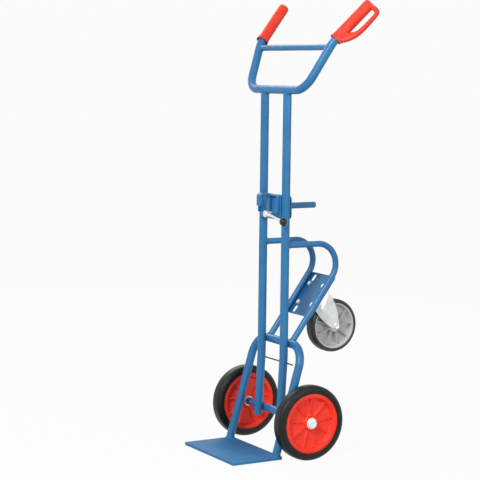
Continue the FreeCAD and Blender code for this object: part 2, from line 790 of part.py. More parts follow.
LEG_IN = "castor_hub_length / 2 + side_play"
LEG_OUT = f"{LEG_IN} + fork_thickness"
CROWN_HALF = "fork_crown / 2"
FORK_LEG = [
    (f"-{CROWN_HALF}", CROWN_Z),
    (CROWN_HALF, CROWN_Z),
    ("castor_trail + fork_eye * 0.98", f"{CASTOR_MID} - fork_eye * 0.2"),
    ("castor_trail - fork_eye * 0.8", f"{CASTOR_MID} + fork_eye * 0.6"),
]
IN_PLANE_X = Rotation(Vector(0, 1, 0), Vector(0, 0, 1), Vector(1, 0, 0), "XYZ")


def fork_leg(side, sign):
    low_x = LEG_IN if sign > 0 else f"-({LEG_OUT})"
    outline = profile(f"fork_leg_{side}_outline", FORK_LEG, IN_PLANE_X, (low_x, "0", "0"))
    sheet_leg = extrude(f"fork_leg_{side}", outline, "fork_thickness")
    at_axle = (low_x, "castor_trail", CASTOR_MID)
    eye = cylinder(f"fork_eye_{side}", "fork_eye", "fork_thickness", at_axle, "X")
    return [sheet_leg, eye]


crown = box(
    "fork_crown_sheet",
    (f"2 * ({LEG_OUT})", "fork_crown", "fork_thickness"),
    (f"-({LEG_OUT})", f"-{CROWN_HALF}", CROWN_Z),
)
lower_race = cylinder("lower_race", "race_od / 2", "race_height", ("0", "0", LOWER_Z))
king_hole = cylinder(
    "fork_king_hole", "king_pin_od / 2 + king_clearance", "race_height + fork_thickness",
    ("0", "0", LOWER_Z),
)
axle_hole = cylinder(
    "fork_axle_hole", "castor_axle_od / 2", f"2 * ({LEG_OUT})",
    (f"-({LEG_OUT})", "castor_trail", CASTOR_MID), "X",
)
on_castor(
    "castor_fork",
    cut(
        "fork_cut",
        fuse("fork_body", [crown, lower_race] + fork_leg("left", 1) + fork_leg("right", -1)),
        fuse("fork_tools", [king_hole, axle_hole, ball_groove("lower_groove")]),
    ),
)

NUT_OUT = f"{LEG_OUT} + nut_height"
bolt_head = prism(
    "castor_axle_head", "castor_nut_width", "head_height", (LEG_OUT, "castor_trail", CASTOR_MID), "X",
)
bolt_shank = cylinder(
    "castor_axle_shank", "castor_axle_od / 2", f"{LEG_OUT} + {NUT_OUT} + bolt_end",
    (f"-({NUT_OUT} + bolt_end)", "castor_trail", CASTOR_MID), "X",
)
on_castor("castor_axle_bolt", fuse("castor_axle", [bolt_head, bolt_shank]))
axle_nut = prism(
    "castor_axle_nut_blank", "castor_nut_width", "nut_height",
    (f"-({NUT_OUT})", "castor_trail", CASTOR_MID), "X",
)
axle_nut_bore = cylinder(
    "castor_axle_nut_bore", "castor_axle_od / 2", "nut_height",
    (f"-({NUT_OUT})", "castor_trail", CASTOR_MID), "X",
)
on_castor("castor_axle_nut", cut("castor_axle_nut_cut", axle_nut, axle_nut_bore))

# Castor wheel

CASTOR_FACE = "castor_width / 2 - castor_recess"
CASTOR_SEAT = "castor_rim_od / 2 - castor_bead_depth"
CASTOR_BEAD = "castor_width / 2 - castor_bead_inset"
CASTOR_RIM_OUTLINE = both_sides([
    ("castor_hub_length / 2", "castor_bore / 2"),
    ("castor_hub_length / 2", "castor_hub_od / 2 - castor_hub_bevel"),
    ("castor_hub_length / 2 - castor_hub_taper", "castor_hub_od / 2"),
    ("castor_web / 2", "castor_hub_od / 2 + castor_hub_bevel"),
    ("castor_web / 2", "castor_rim_od / 2 - castor_ring - castor_slope"),
    (CASTOR_FACE, "castor_rim_od / 2 - castor_ring"),
    (CASTOR_FACE, "castor_rim_od / 2"),
    (CASTOR_BEAD, "castor_rim_od / 2"),
    (CASTOR_BEAD, CASTOR_SEAT),
])
CASTOR_TYRE_OUTLINE = tyre_outline(
    "castor_width", "castor_rim_od", "castor_tyre_depth", CASTOR_BEAD, CASTOR_SEAT,
)
BUSH_OUTLINE = both_sides([
    ("castor_hub_length / 2", "castor_axle_od / 2 + axle_clearance"),
    ("castor_hub_length / 2", "castor_bore / 2"),
])
CASTOR_RIB_OUTLINE = both_sides([
    ("castor_hub_length / 2 - castor_rib_inset", "castor_hub_od / 2 - castor_hub_bevel / 3"),
    (f"{CASTOR_FACE} - castor_rib_inset", "castor_rim_od / 2 - castor_ring - castor_slope / 2"),
])
castor_hub = Vector(0, val("castor_trail"), val(CASTOR_MID))
castor_disc = revolve("castor_rim_disc", CASTOR_RIM_OUTLINE)
castor_count = round(val("castor_rib_count"))
castor_spokes = ribs("castor_rib", CASTOR_RIB_OUTLINE, "castor_rib_thickness", castor_count)
castor_rim = fuse("castor_rim_body", [castor_disc] + castor_spokes)
castor_rim.Placement = CASTOR.multiply(Placement(castor_hub, Rotation()))
sub_part("castor_rim", castor_rim)
sub_part("castor_tyre", turned("castor_tyre_ring", CASTOR_TYRE_OUTLINE, castor_hub, CASTOR))
sub_part("castor_bush", turned("castor_bush_ring", BUSH_OUTLINE, castor_hub, CASTOR))

# Hook carriage: front plate with flanges, drum hook, rear plate and peg

FRONT_Y = "upright_y - tube_od / 2 - carriage_travel_room - front_thickness"
REAR_Y = "upright_y + tube_od / 2 + carriage_travel_room"
FRONT_LOW = "carriage_z + front_top - front_height"
NUT_Y = f"{REAR_Y} + rear_thickness"
SCREW_BORE = "screw_od / 2 + screw_clearance"


def screw_hole(name):
    return cylinder(name, SCREW_BORE, "3 * tube_od", ("0", "upright_y - 1.5 * tube_od", "screw_z"), "Y")


web = box(
    "front_web", ("2 * front_half", "front_thickness", "front_height"), ("-front_half", FRONT_Y, FRONT_LOW),
)
flanges = [
    box(
        f"front_flange_{side}",
        ("front_thickness", "flange_reach", "front_height - flange_rise"),
        (
            "flange_half - front_thickness" if sign > 0 else "-flange_half",
            f"{FRONT_Y} - flange_reach",
            f"{FRONT_LOW} + flange_rise",
        ),
    )
    for side, sign in SIDES
]
top_flange = box(
    "front_flange_top",
    ("2 * flange_half", "flange_reach", "front_thickness"),
    ("-flange_half", f"{FRONT_Y} - flange_reach", "carriage_z + front_top - front_thickness"),
)
HOOK_ROOM = "(hook_width + 2 * weld_gap)"
hook_notch = box(
    "front_hook_notch",
    (HOOK_ROOM, "flange_reach", "2 * front_thickness"),
    (f"-{HOOK_ROOM} / 2", f"{FRONT_Y} - flange_reach", "carriage_z + front_top - 2 * front_thickness"),
)
sub_part(
    "carriage_front",
    cut(
        "front_cut",
        fuse("front_body", [web, top_flange] + flanges),
        fuse("front_tools", [screw_hole("front_hole"), hook_notch]),
    ),
)

rear_sheet = box(
    "rear_blank", ("2 * rear_half", "rear_thickness", "rear_height"),
    ("-rear_half", REAR_Y, "carriage_z - rear_height / 2"),
)


def rear_corner_edge(edge):
    return runs_along(edge, Vector(0, 1, 0))


rear_soft = rounded("rear_soft", rear_sheet, "rear_corner", rear_corner_edge)
sub_part("carriage_rear", cut("rear_cut", rear_soft, screw_hole("rear_hole")))

TIP_Y = "upright_y - hook_reach"
HOOK_BACK = f"{FRONT_Y} - hook_thickness"
hook_outline = profile(
    "hook_outline",
    [
        (FRONT_Y, "hook_top - hook_leg"), (FRONT_Y, "hook_top"), (TIP_Y, "hook_top"),
        (TIP_Y, "hook_top - hook_drop"), (f"{TIP_Y} + hook_thickness", "hook_top - hook_drop"),
        (f"{TIP_Y} + hook_thickness", "hook_top - hook_thickness"),
        (HOOK_BACK, "hook_top - hook_thickness"), (HOOK_BACK, "hook_top - hook_leg"),
    ],
    IN_PLANE_X,
)
hook_bar = extrude("hook_bar", hook_outline, "hook_width", symmetric=True)


def hook_shoulder(edge):
    return runs_along(edge, Vector(1, 0, 0)) and edge.CenterOfMass.z > val("hook_top - 0.1")


sub_part("drum_hook", rounded("hook_soft", hook_bar, "hook_thickness * 0.8", hook_shoulder))

peg_skin = cylinder("peg_skin", "peg_od / 2", "peg_length", ("0", NUT_Y, "carriage_z"), "Y")
peg_bore = cylinder("peg_bore", "peg_od / 2 - peg_wall", "peg_length", ("0", NUT_Y, "carriage_z"), "Y")
sub_part("carriage_peg", cut("peg_tube", peg_skin, peg_bore))

clamp_nut = prism("clamp_nut_blank", "screw_nut_width", "nut_height", ("0", NUT_Y, "screw_z"), "Y")
sub_part("clamp_nut", cut("clamp_nut_cut", clamp_nut, screw_hole("clamp_nut_bore")))

# Clamp lever: screw, lever with its hub, and ball knob

HUB_Y = f"{FRONT_Y} - weld_gap - lever_hub_length"
SCREW_LENGTH = f"{NUT_Y} + nut_height + bolt_end - ({HUB_Y})"
sub_part(
    "clamp_screw",
    cylinder("screw_bar", "screw_od / 2", SCREW_LENGTH, ("0", HUB_Y, "screw_z"), "Y"),
)
droop = math.radians(val("lever_droop"))
pivot = point("0", f"{HUB_Y} + lever_hub_length / 2", "screw_z")
rake = math.radians(val("lever_rake"))
reach = Vector(math.cos(rake) * math.cos(droop), -math.sin(rake), -math.cos(rake) * math.sin(droop))
knob_at = pivot + reach * val("lever_length")
lever_hub = cylinder("lever_hub", "lever_hub_od / 2", "lever_hub_length", ("0", HUB_Y, "screw_z"), "Y")
lever_arm = rod("lever_arm", "lever_od / 2", pivot, knob_at)
lever_bore = cylinder("lever_bore", "screw_od / 2", "lever_hub_length", ("0", HUB_Y, "screw_z"), "Y")
sub_part("clamp_lever", cut("lever_cut", fuse("lever_body", [lever_hub, lever_arm]), lever_bore))

ball = doc.addObject("Part::Sphere", "knob_ball")
bind(ball, "Radius", "knob_od / 2")
ball.Placement = Placement(knob_at, Rotation())
sub_part("lever_knob", cut("knob_cut", ball, rod("knob_bore", "lever_od / 2", pivot, knob_at)))

# Check every object, then write one file for each sub-part

doc.recompute()
for item in doc.Objects:
    if {"Invalid", "Error"} & set(item.State):
        raise RuntimeError(f"{item.Name} failed: {item.State}")
for node, item in parts.items():
    if item.Shape.isNull() or not item.Shape.isValid() or not item.Shape.Solids:
        raise RuntimeError(f"{node} has no valid solid")

os.makedirs("parts", exist_ok=True)
for node, item in parts.items():
    item.Shape.exportStep(f"parts/{node}.step")
    extent = item.Shape.BoundBox
    print(
        f"{node}: {len(item.Shape.Solids)} solids, {item.Shape.Volume / 1000:.1f} cm3,"
        f" X {extent.XMin:.1f}..{extent.XMax:.1f}, Y {extent.YMin:.1f}..{extent.YMax:.1f},"
        f" Z {extent.ZMin:.1f}..{extent.ZMax:.1f}"
    )
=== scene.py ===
# %% [markdown]
# # A drum trolley
# A two-wheeled trolley of bent blue tube. Two tall uprights carry a handle bow at the top
# and a toe plate at the bottom, a hooked carriage slides up and down on them, and a swivel
# castor behind takes the weight when the trolley is tipped back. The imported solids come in
# first and fix every size. Each later step dresses one group of pieces with a smooth surface
# and a finish of its own.

# %% Load the frame
import json

import bpy
import numpy as np
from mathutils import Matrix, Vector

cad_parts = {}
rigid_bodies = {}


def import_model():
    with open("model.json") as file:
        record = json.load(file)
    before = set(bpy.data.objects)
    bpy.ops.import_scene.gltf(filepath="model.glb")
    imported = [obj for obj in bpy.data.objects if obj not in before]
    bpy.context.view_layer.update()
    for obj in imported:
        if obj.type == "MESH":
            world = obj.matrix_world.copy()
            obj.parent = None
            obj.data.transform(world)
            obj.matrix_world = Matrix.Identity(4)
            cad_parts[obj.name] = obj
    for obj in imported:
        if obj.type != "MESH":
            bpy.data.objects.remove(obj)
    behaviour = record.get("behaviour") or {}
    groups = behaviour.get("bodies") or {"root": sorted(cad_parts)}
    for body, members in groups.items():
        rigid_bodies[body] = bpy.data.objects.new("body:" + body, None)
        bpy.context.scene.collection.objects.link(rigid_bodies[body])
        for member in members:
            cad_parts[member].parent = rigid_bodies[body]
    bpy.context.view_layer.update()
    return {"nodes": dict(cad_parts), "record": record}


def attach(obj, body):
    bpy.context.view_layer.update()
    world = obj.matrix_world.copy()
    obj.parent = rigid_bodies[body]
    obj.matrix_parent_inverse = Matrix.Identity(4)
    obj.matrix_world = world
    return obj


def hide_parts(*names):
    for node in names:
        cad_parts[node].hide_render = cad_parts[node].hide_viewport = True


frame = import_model()
nodes = frame["nodes"]
MM = 0.001

# %% [markdown]
# ## Colours and nodes
# Colours are easiest to choose as the hex values that a picture editor shows. Blender mixes
# light in linear values, so one function turns a hex value to linear. One more function adds
# a node, sets its properties and links or fills its inputs, so that a finish below reads as
# a short list of nodes.

# %% One function for colour, one for nodes


def linear(hex_colour):
    """sRGB hex to linear RGBA: each channel c becomes c/12.92 below 0.04045, else ((c+0.055)/1.055)^2.4"""
    srgb = np.array([int(hex_colour[i:i + 2], 16) for i in (1, 3, 5)]) / 255
    low = srgb / 12.92
    high = ((srgb + 0.055) / 1.055) ** 2.4
    return (*np.where(srgb <= 0.04045, low, high).tolist(), 1.0)


def fill(tree, node, inputs):
    """fills a node's inputs: a socket of another node is linked, any other value is written in"""
    for name, value in inputs.items():
        if isinstance(value, bpy.types.NodeSocket):
            tree.links.new(value, node.inputs[name])
        else:
            node.inputs[name].default_value = value


def add(tree, kind, inputs=None, **settings):
    """adds a node: settings are its properties, inputs are values or sockets of earlier nodes"""
    node = tree.nodes.new(kind)
    for name, value in settings.items():
        setattr(node, name, value)
    fill(tree, node, inputs or {})
    return node


def new_finish(name):
    """an empty material with its shader and the place on the piece, in metres"""
    material = bpy.data.materials.new(name)
    material.use_nodes = True
    tree = material.node_tree
    shader = tree.nodes["Principled BSDF"]
    place = add(tree, "ShaderNodeTexCoord").outputs["Object"]
    return material, tree, shader, place


print("middle grey in linear values:", linear("#808080"))

# %% [markdown]
# ## Shades and grain
# No real surface has one even colour or one even gloss. A soft noise picks between a few near
# shades, and a much finer one lifts the surface in a bump and takes the roughness up and
# down with it. Their scales come from sizes in millimetres.

# %% Two noises that the finishes share


def per_metre(size_mm):
    """a noise scale for features of about this many millimetres: one over the size in metres"""
    return 1 / (size_mm * MM)


def shades(tree, place, size_mm, detail, stops):
    """a noise of this size, and the colour that it picks between stops of (share, hex value)"""
    scale = per_metre(size_mm)
    noise = add(tree, "ShaderNodeTexNoise", {"Vector": place, "Scale": scale, "Detail": detail})
    tone = add(tree, "ShaderNodeValToRGB", {"Fac": noise.outputs["Fac"]})
    elements = tone.color_ramp.elements
    for i, (share, colour) in enumerate(stops):
        stop = elements[i] if i < len(elements) else elements.new(share)
        stop.position = share
        stop.color = linear(colour)
    return noise.outputs["Fac"], tone.outputs["Color"]


def grained(tree, place, size_mm, depth_mm, strength, rough):
    """a fine noise that makes a bump of this depth and takes the roughness through a range"""
    grain = add(tree, "ShaderNodeTexNoise", {"Vector": place, "Scale": per_metre(size_mm), "Detail": 2.0})
    height = grain.outputs["Fac"]
    skin = add(tree, "ShaderNodeBump", {"Height": height, "Strength": strength, "Distance": depth_mm * MM})
    gloss = add(tree, "ShaderNodeMapRange", {"Value": height, "To Min": rough[0], "To Max": rough[1]})
    return {"Roughness": gloss.outputs["Result"], "Normal": skin.outputs["Normal"]}


print("a grain of 2 mm has a noise scale of", per_metre(2))

# %% [markdown]
# ## Powder-coated steel
# The tubes and plates are steel with a baked blue powder coat. Powder melts into a thick,
# glossy skin with a slight orange peel, a few millimetres from crest to crest, and a depth
# of colour that varies a little over a tube's length. A clear coat on top of a mid-rough
# base gives the pale, soft-edged streaks that run along the tubes. The toe plate has the
# same coat, dulled by feet and loads.

# %% Blue powder coat
PEEL_MM, PEEL_DEPTH_MM = 3.5, 0.5
SHADE_MM = 140


def powder(name, rough, coat):
    """blue powder coat: two near shades, an orange peel in bump and roughness, and some clear gloss"""
    material, tree, shader, place = new_finish(name)
    _, colour = shades(tree, place, SHADE_MM, 3.0, [(0.3, "#246B9E"), (0.7, "#2E78AB")])
    peel = grained(tree, place, PEEL_MM, PEEL_DEPTH_MM, 0.05, rough)
    fill(tree, shader, {
        "Base Color": colour, **peel, "Specular IOR Level": 0.35,
        "Coat Weight": coat, "Coat Roughness": 0.16,
    })
    return material


powder_coat = powder("powder_coated_steel_blue", (0.32, 0.42), 0.12)
scuffed_coat = powder("powder_coated_steel_scuffed", (0.50, 0.66), 0.0)
print("finishes:", powder_coat.name, scuffed_coat.name)

# %% [markdown]
# ## Moulded plastics
# The wheel rims and the grips are red. A rim is injection-moulded polypropylene with an even
# satin face. A grip is soft PVC, a shade duller, with a fine grained skin that keeps a hand
# from slipping. The castor's rim is grey polyamide, the bush inside it the same plastic
# without dye, and the ball on the clamp lever is black phenolic, polished to a high gloss.

# %% Red, grey, natural and black plastic


def moulded(name, dark, pale, grain_mm, grain_depth_mm, rough, shade_mm=45):
    """a moulded plastic: two near shades, a grain of a given size and depth, and a roughness range"""
    material, tree, shader, place = new_finish(name)
    _, colour = shades(tree, place, shade_mm, 4.0, [(0.3, dark), (0.7, pale)])
    grain = grained(tree, place, grain_mm, grain_depth_mm, 0.3, rough)
    fill(tree, shader, {"Base Color": colour, **grain, "Specular IOR Level": 0.35})
    return material


rim_red = moulded("polypropylene_red", "#F5341F", "#FC3F28", 1.2, 0.10, (0.38, 0.50))
grip_red = moulded("soft_pvc_red", "#E63824", "#F0432E", 1.5, 0.15, (0.40, 0.52))
rim_grey = moulded("polyamide_grey", "#C0BDBD", "#CCC9C9", 1.0, 0.08, (0.40, 0.52))
bush_natural = moulded("polyamide_natural", "#D3D1C6", "#DEDCD2", 1.0, 0.05, (0.45, 0.55))
knob_black = moulded("phenolic_black", "#121214", "#1A1A1C", 2.0, 0.02, (0.12, 0.20))
print("plastics:", rim_red.name, grip_red.name, rim_grey.name, bush_natural.name, knob_black.name)

# %% [markdown]
# ## Rubber
# The large tyres are solid black rubber and the castor's is a harder, greyer one. Rubber is
# rough and scatters light, so its sides look dark grey rather than black. A little dust sits
# in a coarse mottle, and the mould's grain makes bumps about a millimetre across.

# %% Black and grey rubber
DUST_MM = 18
GRAIN_MM, GRAIN_DEPTH_MM = 1.4, 0.3


def rubber(name, dark, dusty):
    """solid rubber: dust in a coarse mottle over a dark base, with a fine mould grain"""
    material, tree, shader, place = new_finish(name)
    _, colour = shades(tree, place, DUST_MM, 6.0, [(0.42, dark), (0.75, dusty)])
    grain = add(tree, "ShaderNodeTexNoise", {"Vector": place, "Scale": per_metre(GRAIN_MM), "Detail": 3.0})
    skin = add(
        tree, "ShaderNodeBump",
        {"Height": grain.outputs["Fac"], "Strength": 0.4, "Distance": GRAIN_DEPTH_MM * MM},
    )
    fill(tree, shader, {
        "Base Color": colour, "Roughness": 0.4, "Normal": skin.outputs["Normal"], "Specular IOR Level": 0.3,
    })
    return material


tyre_black = rubber("solid_rubber_black", "#0B0B0C", "#161617")
tyre_grey = rubber("solid_rubber_grey", "#333335", "#404042")
print("rubbers:", tyre_black.name, tyre_grey.name)

# %% [markdown]
# ## Zinc plate and bare steel
# The castor's fork, its bolts, the hub caps and the clamp lever are zinc-plated steel. The
# plating is smooth and pale, and the thin film that seals it shows a breath of yellow in
# patches a few centimetres across. That film also scatters light, so the metal isn't a clean
# mirror. The balls and the bearing rings are ground steel, darker and smoother. The thin
# strap rod is painted a dark slate.

# %% Metals
# scratches about 17 mm long and 1 mm wide, coarser than real ones, so that they show
SCRATCHES_PER_METRE = (60.0, 900.0, 900.0)
SCRATCH_DEPTH_MM = 0.2


def plated(name, dark, pale, warm, rough, metallic, patch_mm=38):
    """a metal with soft patches in its colour and roughness and fine scratches in its bump"""
    material, tree, shader, place = new_finish(name)
    patch, colour = shades(tree, place, patch_mm, 3.0, [(0.32, dark), (0.56, pale), (0.74, warm)])
    gloss = add(tree, "ShaderNodeMapRange", {"Value": patch, "To Min": rough[0], "To Max": rough[1]})
    stretch = add(tree, "ShaderNodeMapping", {"Vector": place, "Scale": SCRATCHES_PER_METRE})
    scratch = add(tree, "ShaderNodeTexNoise", {"Vector": stretch.outputs["Vector"], "Scale": 1.0})
    skin = add(
        tree, "ShaderNodeBump",
        {"Height": scratch.outputs["Fac"], "Strength": 0.06, "Distance": SCRATCH_DEPTH_MM * MM},
    )
    fill(tree, shader, {
        "Base Color": colour, "Roughness": gloss.outputs["Result"], "Normal": skin.outputs["Normal"],
        "Metallic": metallic,
    })
    return material


zinc = plated("zinc_plated_steel", "#DFE0E1", "#EEEFF0", "#EBE4D4", (0.32, 0.42), 0.5)
ground_steel = plated("ground_steel", "#9C9EA1", "#A6A8AB", "#ACAEB0", (0.20, 0.28), 1.0)
rod_dark = moulded("rod_paint_dark", "#33405A", "#3B4864", 2.0, 0.05, (0.35, 0.45))
print("metals:", zinc.name, ground_steel.name, rod_dark.name)

# %% [markdown]
# ## Finishes on the solids
# The castor's plates, its pin, balls and bush, the bearings, the axle with its washers and the
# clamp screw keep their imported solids, because drilled sheet and plain turned pieces are
# already right there. Each only gets the finish of its slot. The same table says which finish
# a dressed piece takes later.

# %% Give every solid its finish
finish_of = {
    "frame_paint": powder_coat,
    "grip_plastic": grip_red,
    "rim_plastic": rim_red,
    "tyre_rubber": tyre_black,
    "castor_rubber": tyre_grey,
    "castor_plastic": rim_grey,
    "zinc_steel": zinc,
    "bearing_steel": ground_steel,
    "bush_plastic": bush_natural,
    "dark_steel": rod_dark,
    "knob_plastic": knob_black,
}
slot_of = {row["node"]: row["material_slot"] for row in frame["record"]["subparts"]}
body_of = {
    node: body for body, members in frame["record"]["behaviour"]["bodies"].items() for node in members
}
for name, solid in nodes.items():
    solid.data.materials.clear()
    solid.data.materials.append(finish_of[slot_of[name]])
print("finishes given to", len(nodes), "solids")

# %% [markdown]
# ## From a grid of points to a piece
# Every dressed piece is a grid of points: rows along a path or a profile, columns around it.
# Where the rows and the columns both close on themselves, the grid is a closed skin with no
# seam and no hole, like the skin of a ring. Where the first and the last row shrink to a
# point, the grid is closed like an orange. One function makes the mesh, and one hangs it on
# the body of the solids it stands for, hides those solids and gives it their finish.

# %% Grid to mesh
SHARP_ANGLE = np.radians(35)
ONE_POINT_MM = 1e-6
MERGE_M = 1e-7


def grid_faces(rows, columns, ring):
    """quads (i, j), (i+1, j), (i+1, j+1), (i, j+1), closed around, and along too in a ring"""
    i, j = np.meshgrid(np.arange(rows if ring else rows - 1), np.arange(columns), indexing="ij")
    up, on = (i + 1) % rows, (j + 1) % columns
    corners = np.stack([i * columns + j, up * columns + j, up * columns + on, i * columns + on], -1)
    return corners.reshape(-1, 4)


def new_object(name, data):
    """an object for a mesh, a lamp or a camera, linked to the scene"""
    made = bpy.data.objects.new(name, data)
    bpy.context.scene.collection.objects.link(made)
    return made


def skin_piece(name, grids):
    """one mesh of several closed grids of points in millimetres, smooth except at sharp edges"""
    points, faces, start = [], [], 0
    for grid in grids:
        rows, columns = grid.shape[:2]
        ring = np.ptp(grid[0], axis=0).max() > ONE_POINT_MM
        points.append(grid.reshape(-1, 3) * MM)
        faces.append(grid_faces(rows, columns, ring) + start)
        start += rows * columns
    mesh = bpy.data.meshes.new(name)
    mesh.from_pydata(np.concatenate(points).tolist(), [], np.concatenate(faces).tolist())
    piece = new_object(name, mesh)
    for each in bpy.data.objects:
        each.select_set(each == piece)
    bpy.context.view_layer.objects.active = piece
    bpy.ops.object.mode_set(mode="EDIT")
    bpy.ops.mesh.select_all(action="SELECT")
    bpy.ops.mesh.remove_doubles(threshold=MERGE_M)
    bpy.ops.mesh.normals_make_consistent(inside=False)
    bpy.ops.object.mode_set(mode="OBJECT")
    bpy.ops.object.shade_smooth_by_angle(angle=SHARP_ANGLE)
    return piece


def dress(name, grids, *solids):
    """a piece of these grids takes the place, the body and the finish of these solids"""
    piece = skin_piece(name, grids)
    first = solids[0]
    piece.data.materials.append(finish_of[slot_of[first]])
    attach(piece, body_of[first])
    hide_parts(*solids)
    print("dressed", piece.name, "with", len(piece.data.polygons), "faces")
    return piece


print("a ring of 4 by 6 points has", len(grid_faces(4, 6, True)), "faces")

# %% [markdown]
# ## Bent tube
# A tube bender leaves straight runs joined by arcs of one radius. The path below is built
# the same way, corner by corner. A ring of points is carried along it without twisting, once
# outside and once back inside, so an open end shows its wall. Where a tube is welded on to
# another, its end is cut to a saddle: each point of the end ring slides along the tube until
# it meets the other tube's skin.

# %% Paths and tubes
ARC_STEPS = 18
SIDES = 48


def unit(vectors):
    """each vector divided by its own length"""
    return vectors / np.linalg.norm(vectors, axis=-1, keepdims=True)


def bent_path(corners, radii):
    """straight runs with a tangent arc at each corner: the arc starts radius * tan(turn / 2) before it"""
    corners = np.asarray(corners, float)
    path = [corners[:1]]
    for before, corner, after, radius in zip(corners, corners[1:], corners[2:], radii):
        back, on = unit(before - corner), unit(after - corner)
        turn = np.pi - np.arccos(np.clip(back @ on, -1, 1))
        centre = corner + unit(back + on) * radius / np.cos(turn / 2)
        first = corner + back * radius * np.tan(turn / 2) - centre
        across = unit(-back - (first @ -back) / (first @ first) * first)
        angles = np.linspace(0, turn, ARC_STEPS)[:, None]
        path.append(centre + np.cos(angles) * first + np.sin(angles) * radius * across)
    path.append(corners[-1:])
    return np.concatenate(path)


def run_length(points):
    """the distance along a line at each of its points: the sum of the steps up to it"""
    return np.concatenate([[0], np.cumsum(np.linalg.norm(np.diff(points, axis=0), axis=1))])


def carried_frames(path):
    """two directions square to the path at each point: the side before, less its share along the path"""
    ahead = unit(np.gradient(path, axis=0))
    ahead[0], ahead[-1] = unit(path[1] - path[0]), unit(path[-1] - path[-2])
    side = np.empty_like(path)
    start = np.eye(3)[np.argmin(np.abs(ahead[0]))]
    side[0] = unit(np.cross(ahead[0], start))
    for i in range(1, len(path)):
        side[i] = unit(side[i - 1] - (side[i - 1] @ ahead[i]) * ahead[i])
    return ahead, side, np.cross(ahead, side)


def circle(side, up, count):
    """directions around an axis: cos(a) side + sin(a) up at count angles a of a full turn"""
    turn = np.linspace(0, 2 * np.pi, count, endpoint=False)[:, None]
    return np.cos(turn) * side[..., None, :] + np.sin(turn) * up[..., None, :]


def rings_along(path, radius, sides=SIDES):
    """circles square to the path, of one radius or one for each point: p + r circle"""
    _, side, up = carried_frames(path)
    radius = np.broadcast_to(np.asarray(radius, float), len(path))[:, None, None]
    return path[:, None] + radius * circle(side, up, sides)


def slide_to_tube(points, way, on_axis, axis, radius):
    """slides points along way to a cylinder's skin: the lower root t of |p + t way - axis|^2 = r^2"""
    axis = unit(np.asarray(axis, float))
    away = points - np.asarray(on_axis, float)
    away = away - (away @ axis)[:, None] * axis
    flat = way - (way @ axis) * axis
    a = flat @ flat
    b = away @ flat
    c = (away * away).sum(1) - radius**2
    reach = np.sqrt(np.maximum(b * b - a * c, 0))
    return points + ((-b - reach) / a)[:, None] * way


def tube_skin(path, outer, wall, start_cut=None, end_cut=None):
    """the closed skin of a tube: rings outside from start to end, then rings inside back again"""
    ahead = unit(path[[1, -2]] - path[[0, -1]])
    skins = []
    for radius in (outer, outer - wall):
        rings = rings_along(path, radius)
        if start_cut:
            rings[0] = start_cut(rings[0], -ahead[0])
        if end_cut:
            rings[-1] = end_cut(rings[-1], -ahead[1])
        skins.append(rings)
    return np.concatenate([skins[0], skins[1][::-1]])


print("a tube has", SIDES, "sides and a bend", ARC_STEPS, "rings")

# %% [markdown]
# ## Weld beads
# Where two tubes meet, the maker runs a fillet weld around the joint, and the paint covers
# it. The bead follows the saddle's edge. It is a thin ring whose thickness rises and falls
# with each stop of the torch, about every five millimetres.

# %% Beads around a saddle
BEAD, THIN_BEAD = 3.2, 2.6
BEAD_SIDES = 10
RIPPLE_MM = 5.0
RIPPLE_SHARE = 0.14


def weld_bead(loop, size=BEAD, steps=180):
    """a ring around a closed loop of points, whose radius is size * (1 + share * cos(2 pi s / ripple))"""
    closed = np.concatenate([loop, loop[:1]])
    run = run_length(closed)
    along = np.linspace(0, run[-1], steps, endpoint=False)
    path = np.stack([np.interp(along, run, closed[:, k]) for k in range(3)], 1)
    ahead = unit(np.roll(path, -1, 0) - np.roll(path, 1, 0))
    outward = path - path.mean(0)
    side = unit(outward - (outward * ahead).sum(1, keepdims=True) * ahead)
    ripples = round(run[-1] / RIPPLE_MM)
    radius = size * (1 + RIPPLE_SHARE * np.cos(np.arange(steps) / steps * 2 * np.pi * ripples))
    return path[:, None] + radius[:, None, None] * circle(side, np.cross(ahead, side), BEAD_SIDES)


frame_beads = []
print("bead radius", BEAD, "mm, a ripple every", RIPPLE_MM, "mm")

# %% [markdown]
# ## Uprights and handle bow
# The uprights run straight up from a slight bend below the hoop and end on the handle bow's
# bottom bar. The bow leaves that bar at a tight bend on each side, leans back and outwards,
# and bends once more to the grips. A thinner crossbar joins its two arms.

# %% Main tubes, in millimetres
BOTH_SIDES = (("left", 1), ("right", -1))
TUBE, TUBE_WALL, HANDLE_WALL = 15.0, 2.5, 2.0
THIN, THIN_WALL = 11.0, 1.5
WELD_GAP = 0.3
UPRIGHT_X, UPRIGHT_Y = 76.0, 160.0
HANDLE_Z = 1287.0
SEAT = TUBE + WELD_GAP
BAR_AXIS = ((0, UPRIGHT_Y, HANDLE_Z), (1, 0, 0))
LEAN = np.tan(np.radians(2.9))
BEND_Z, LOW_Z = 340.0, 108.5
LOW_Y = UPRIGHT_Y - (BEND_Z - LOW_Z) * LEAN
UPRIGHT_BEND, CORNER_BEND, KNEE_BEND = 400.0, 75.0, 110.0


def saddle(on_axis, axis):
    """a cut for the end of a tube that is welded on to the main tube along this axis"""
    return lambda points, way: slide_to_tube(points, way, on_axis, axis, SEAT)


for side, sign in BOTH_SIDES:
    x = sign * UPRIGHT_X
    path = bent_path([(x, UPRIGHT_Y, HANDLE_Z), (x, UPRIGHT_Y, BEND_Z), (x, LOW_Y, LOW_Z)], [UPRIGHT_BEND])
    skin = tube_skin(path, TUBE, TUBE_WALL, saddle(*BAR_AXIS))
    frame_beads.append(weld_bead(skin[0]))
    dress(f"upright_tube_{side}", [skin], f"upright_{side}")

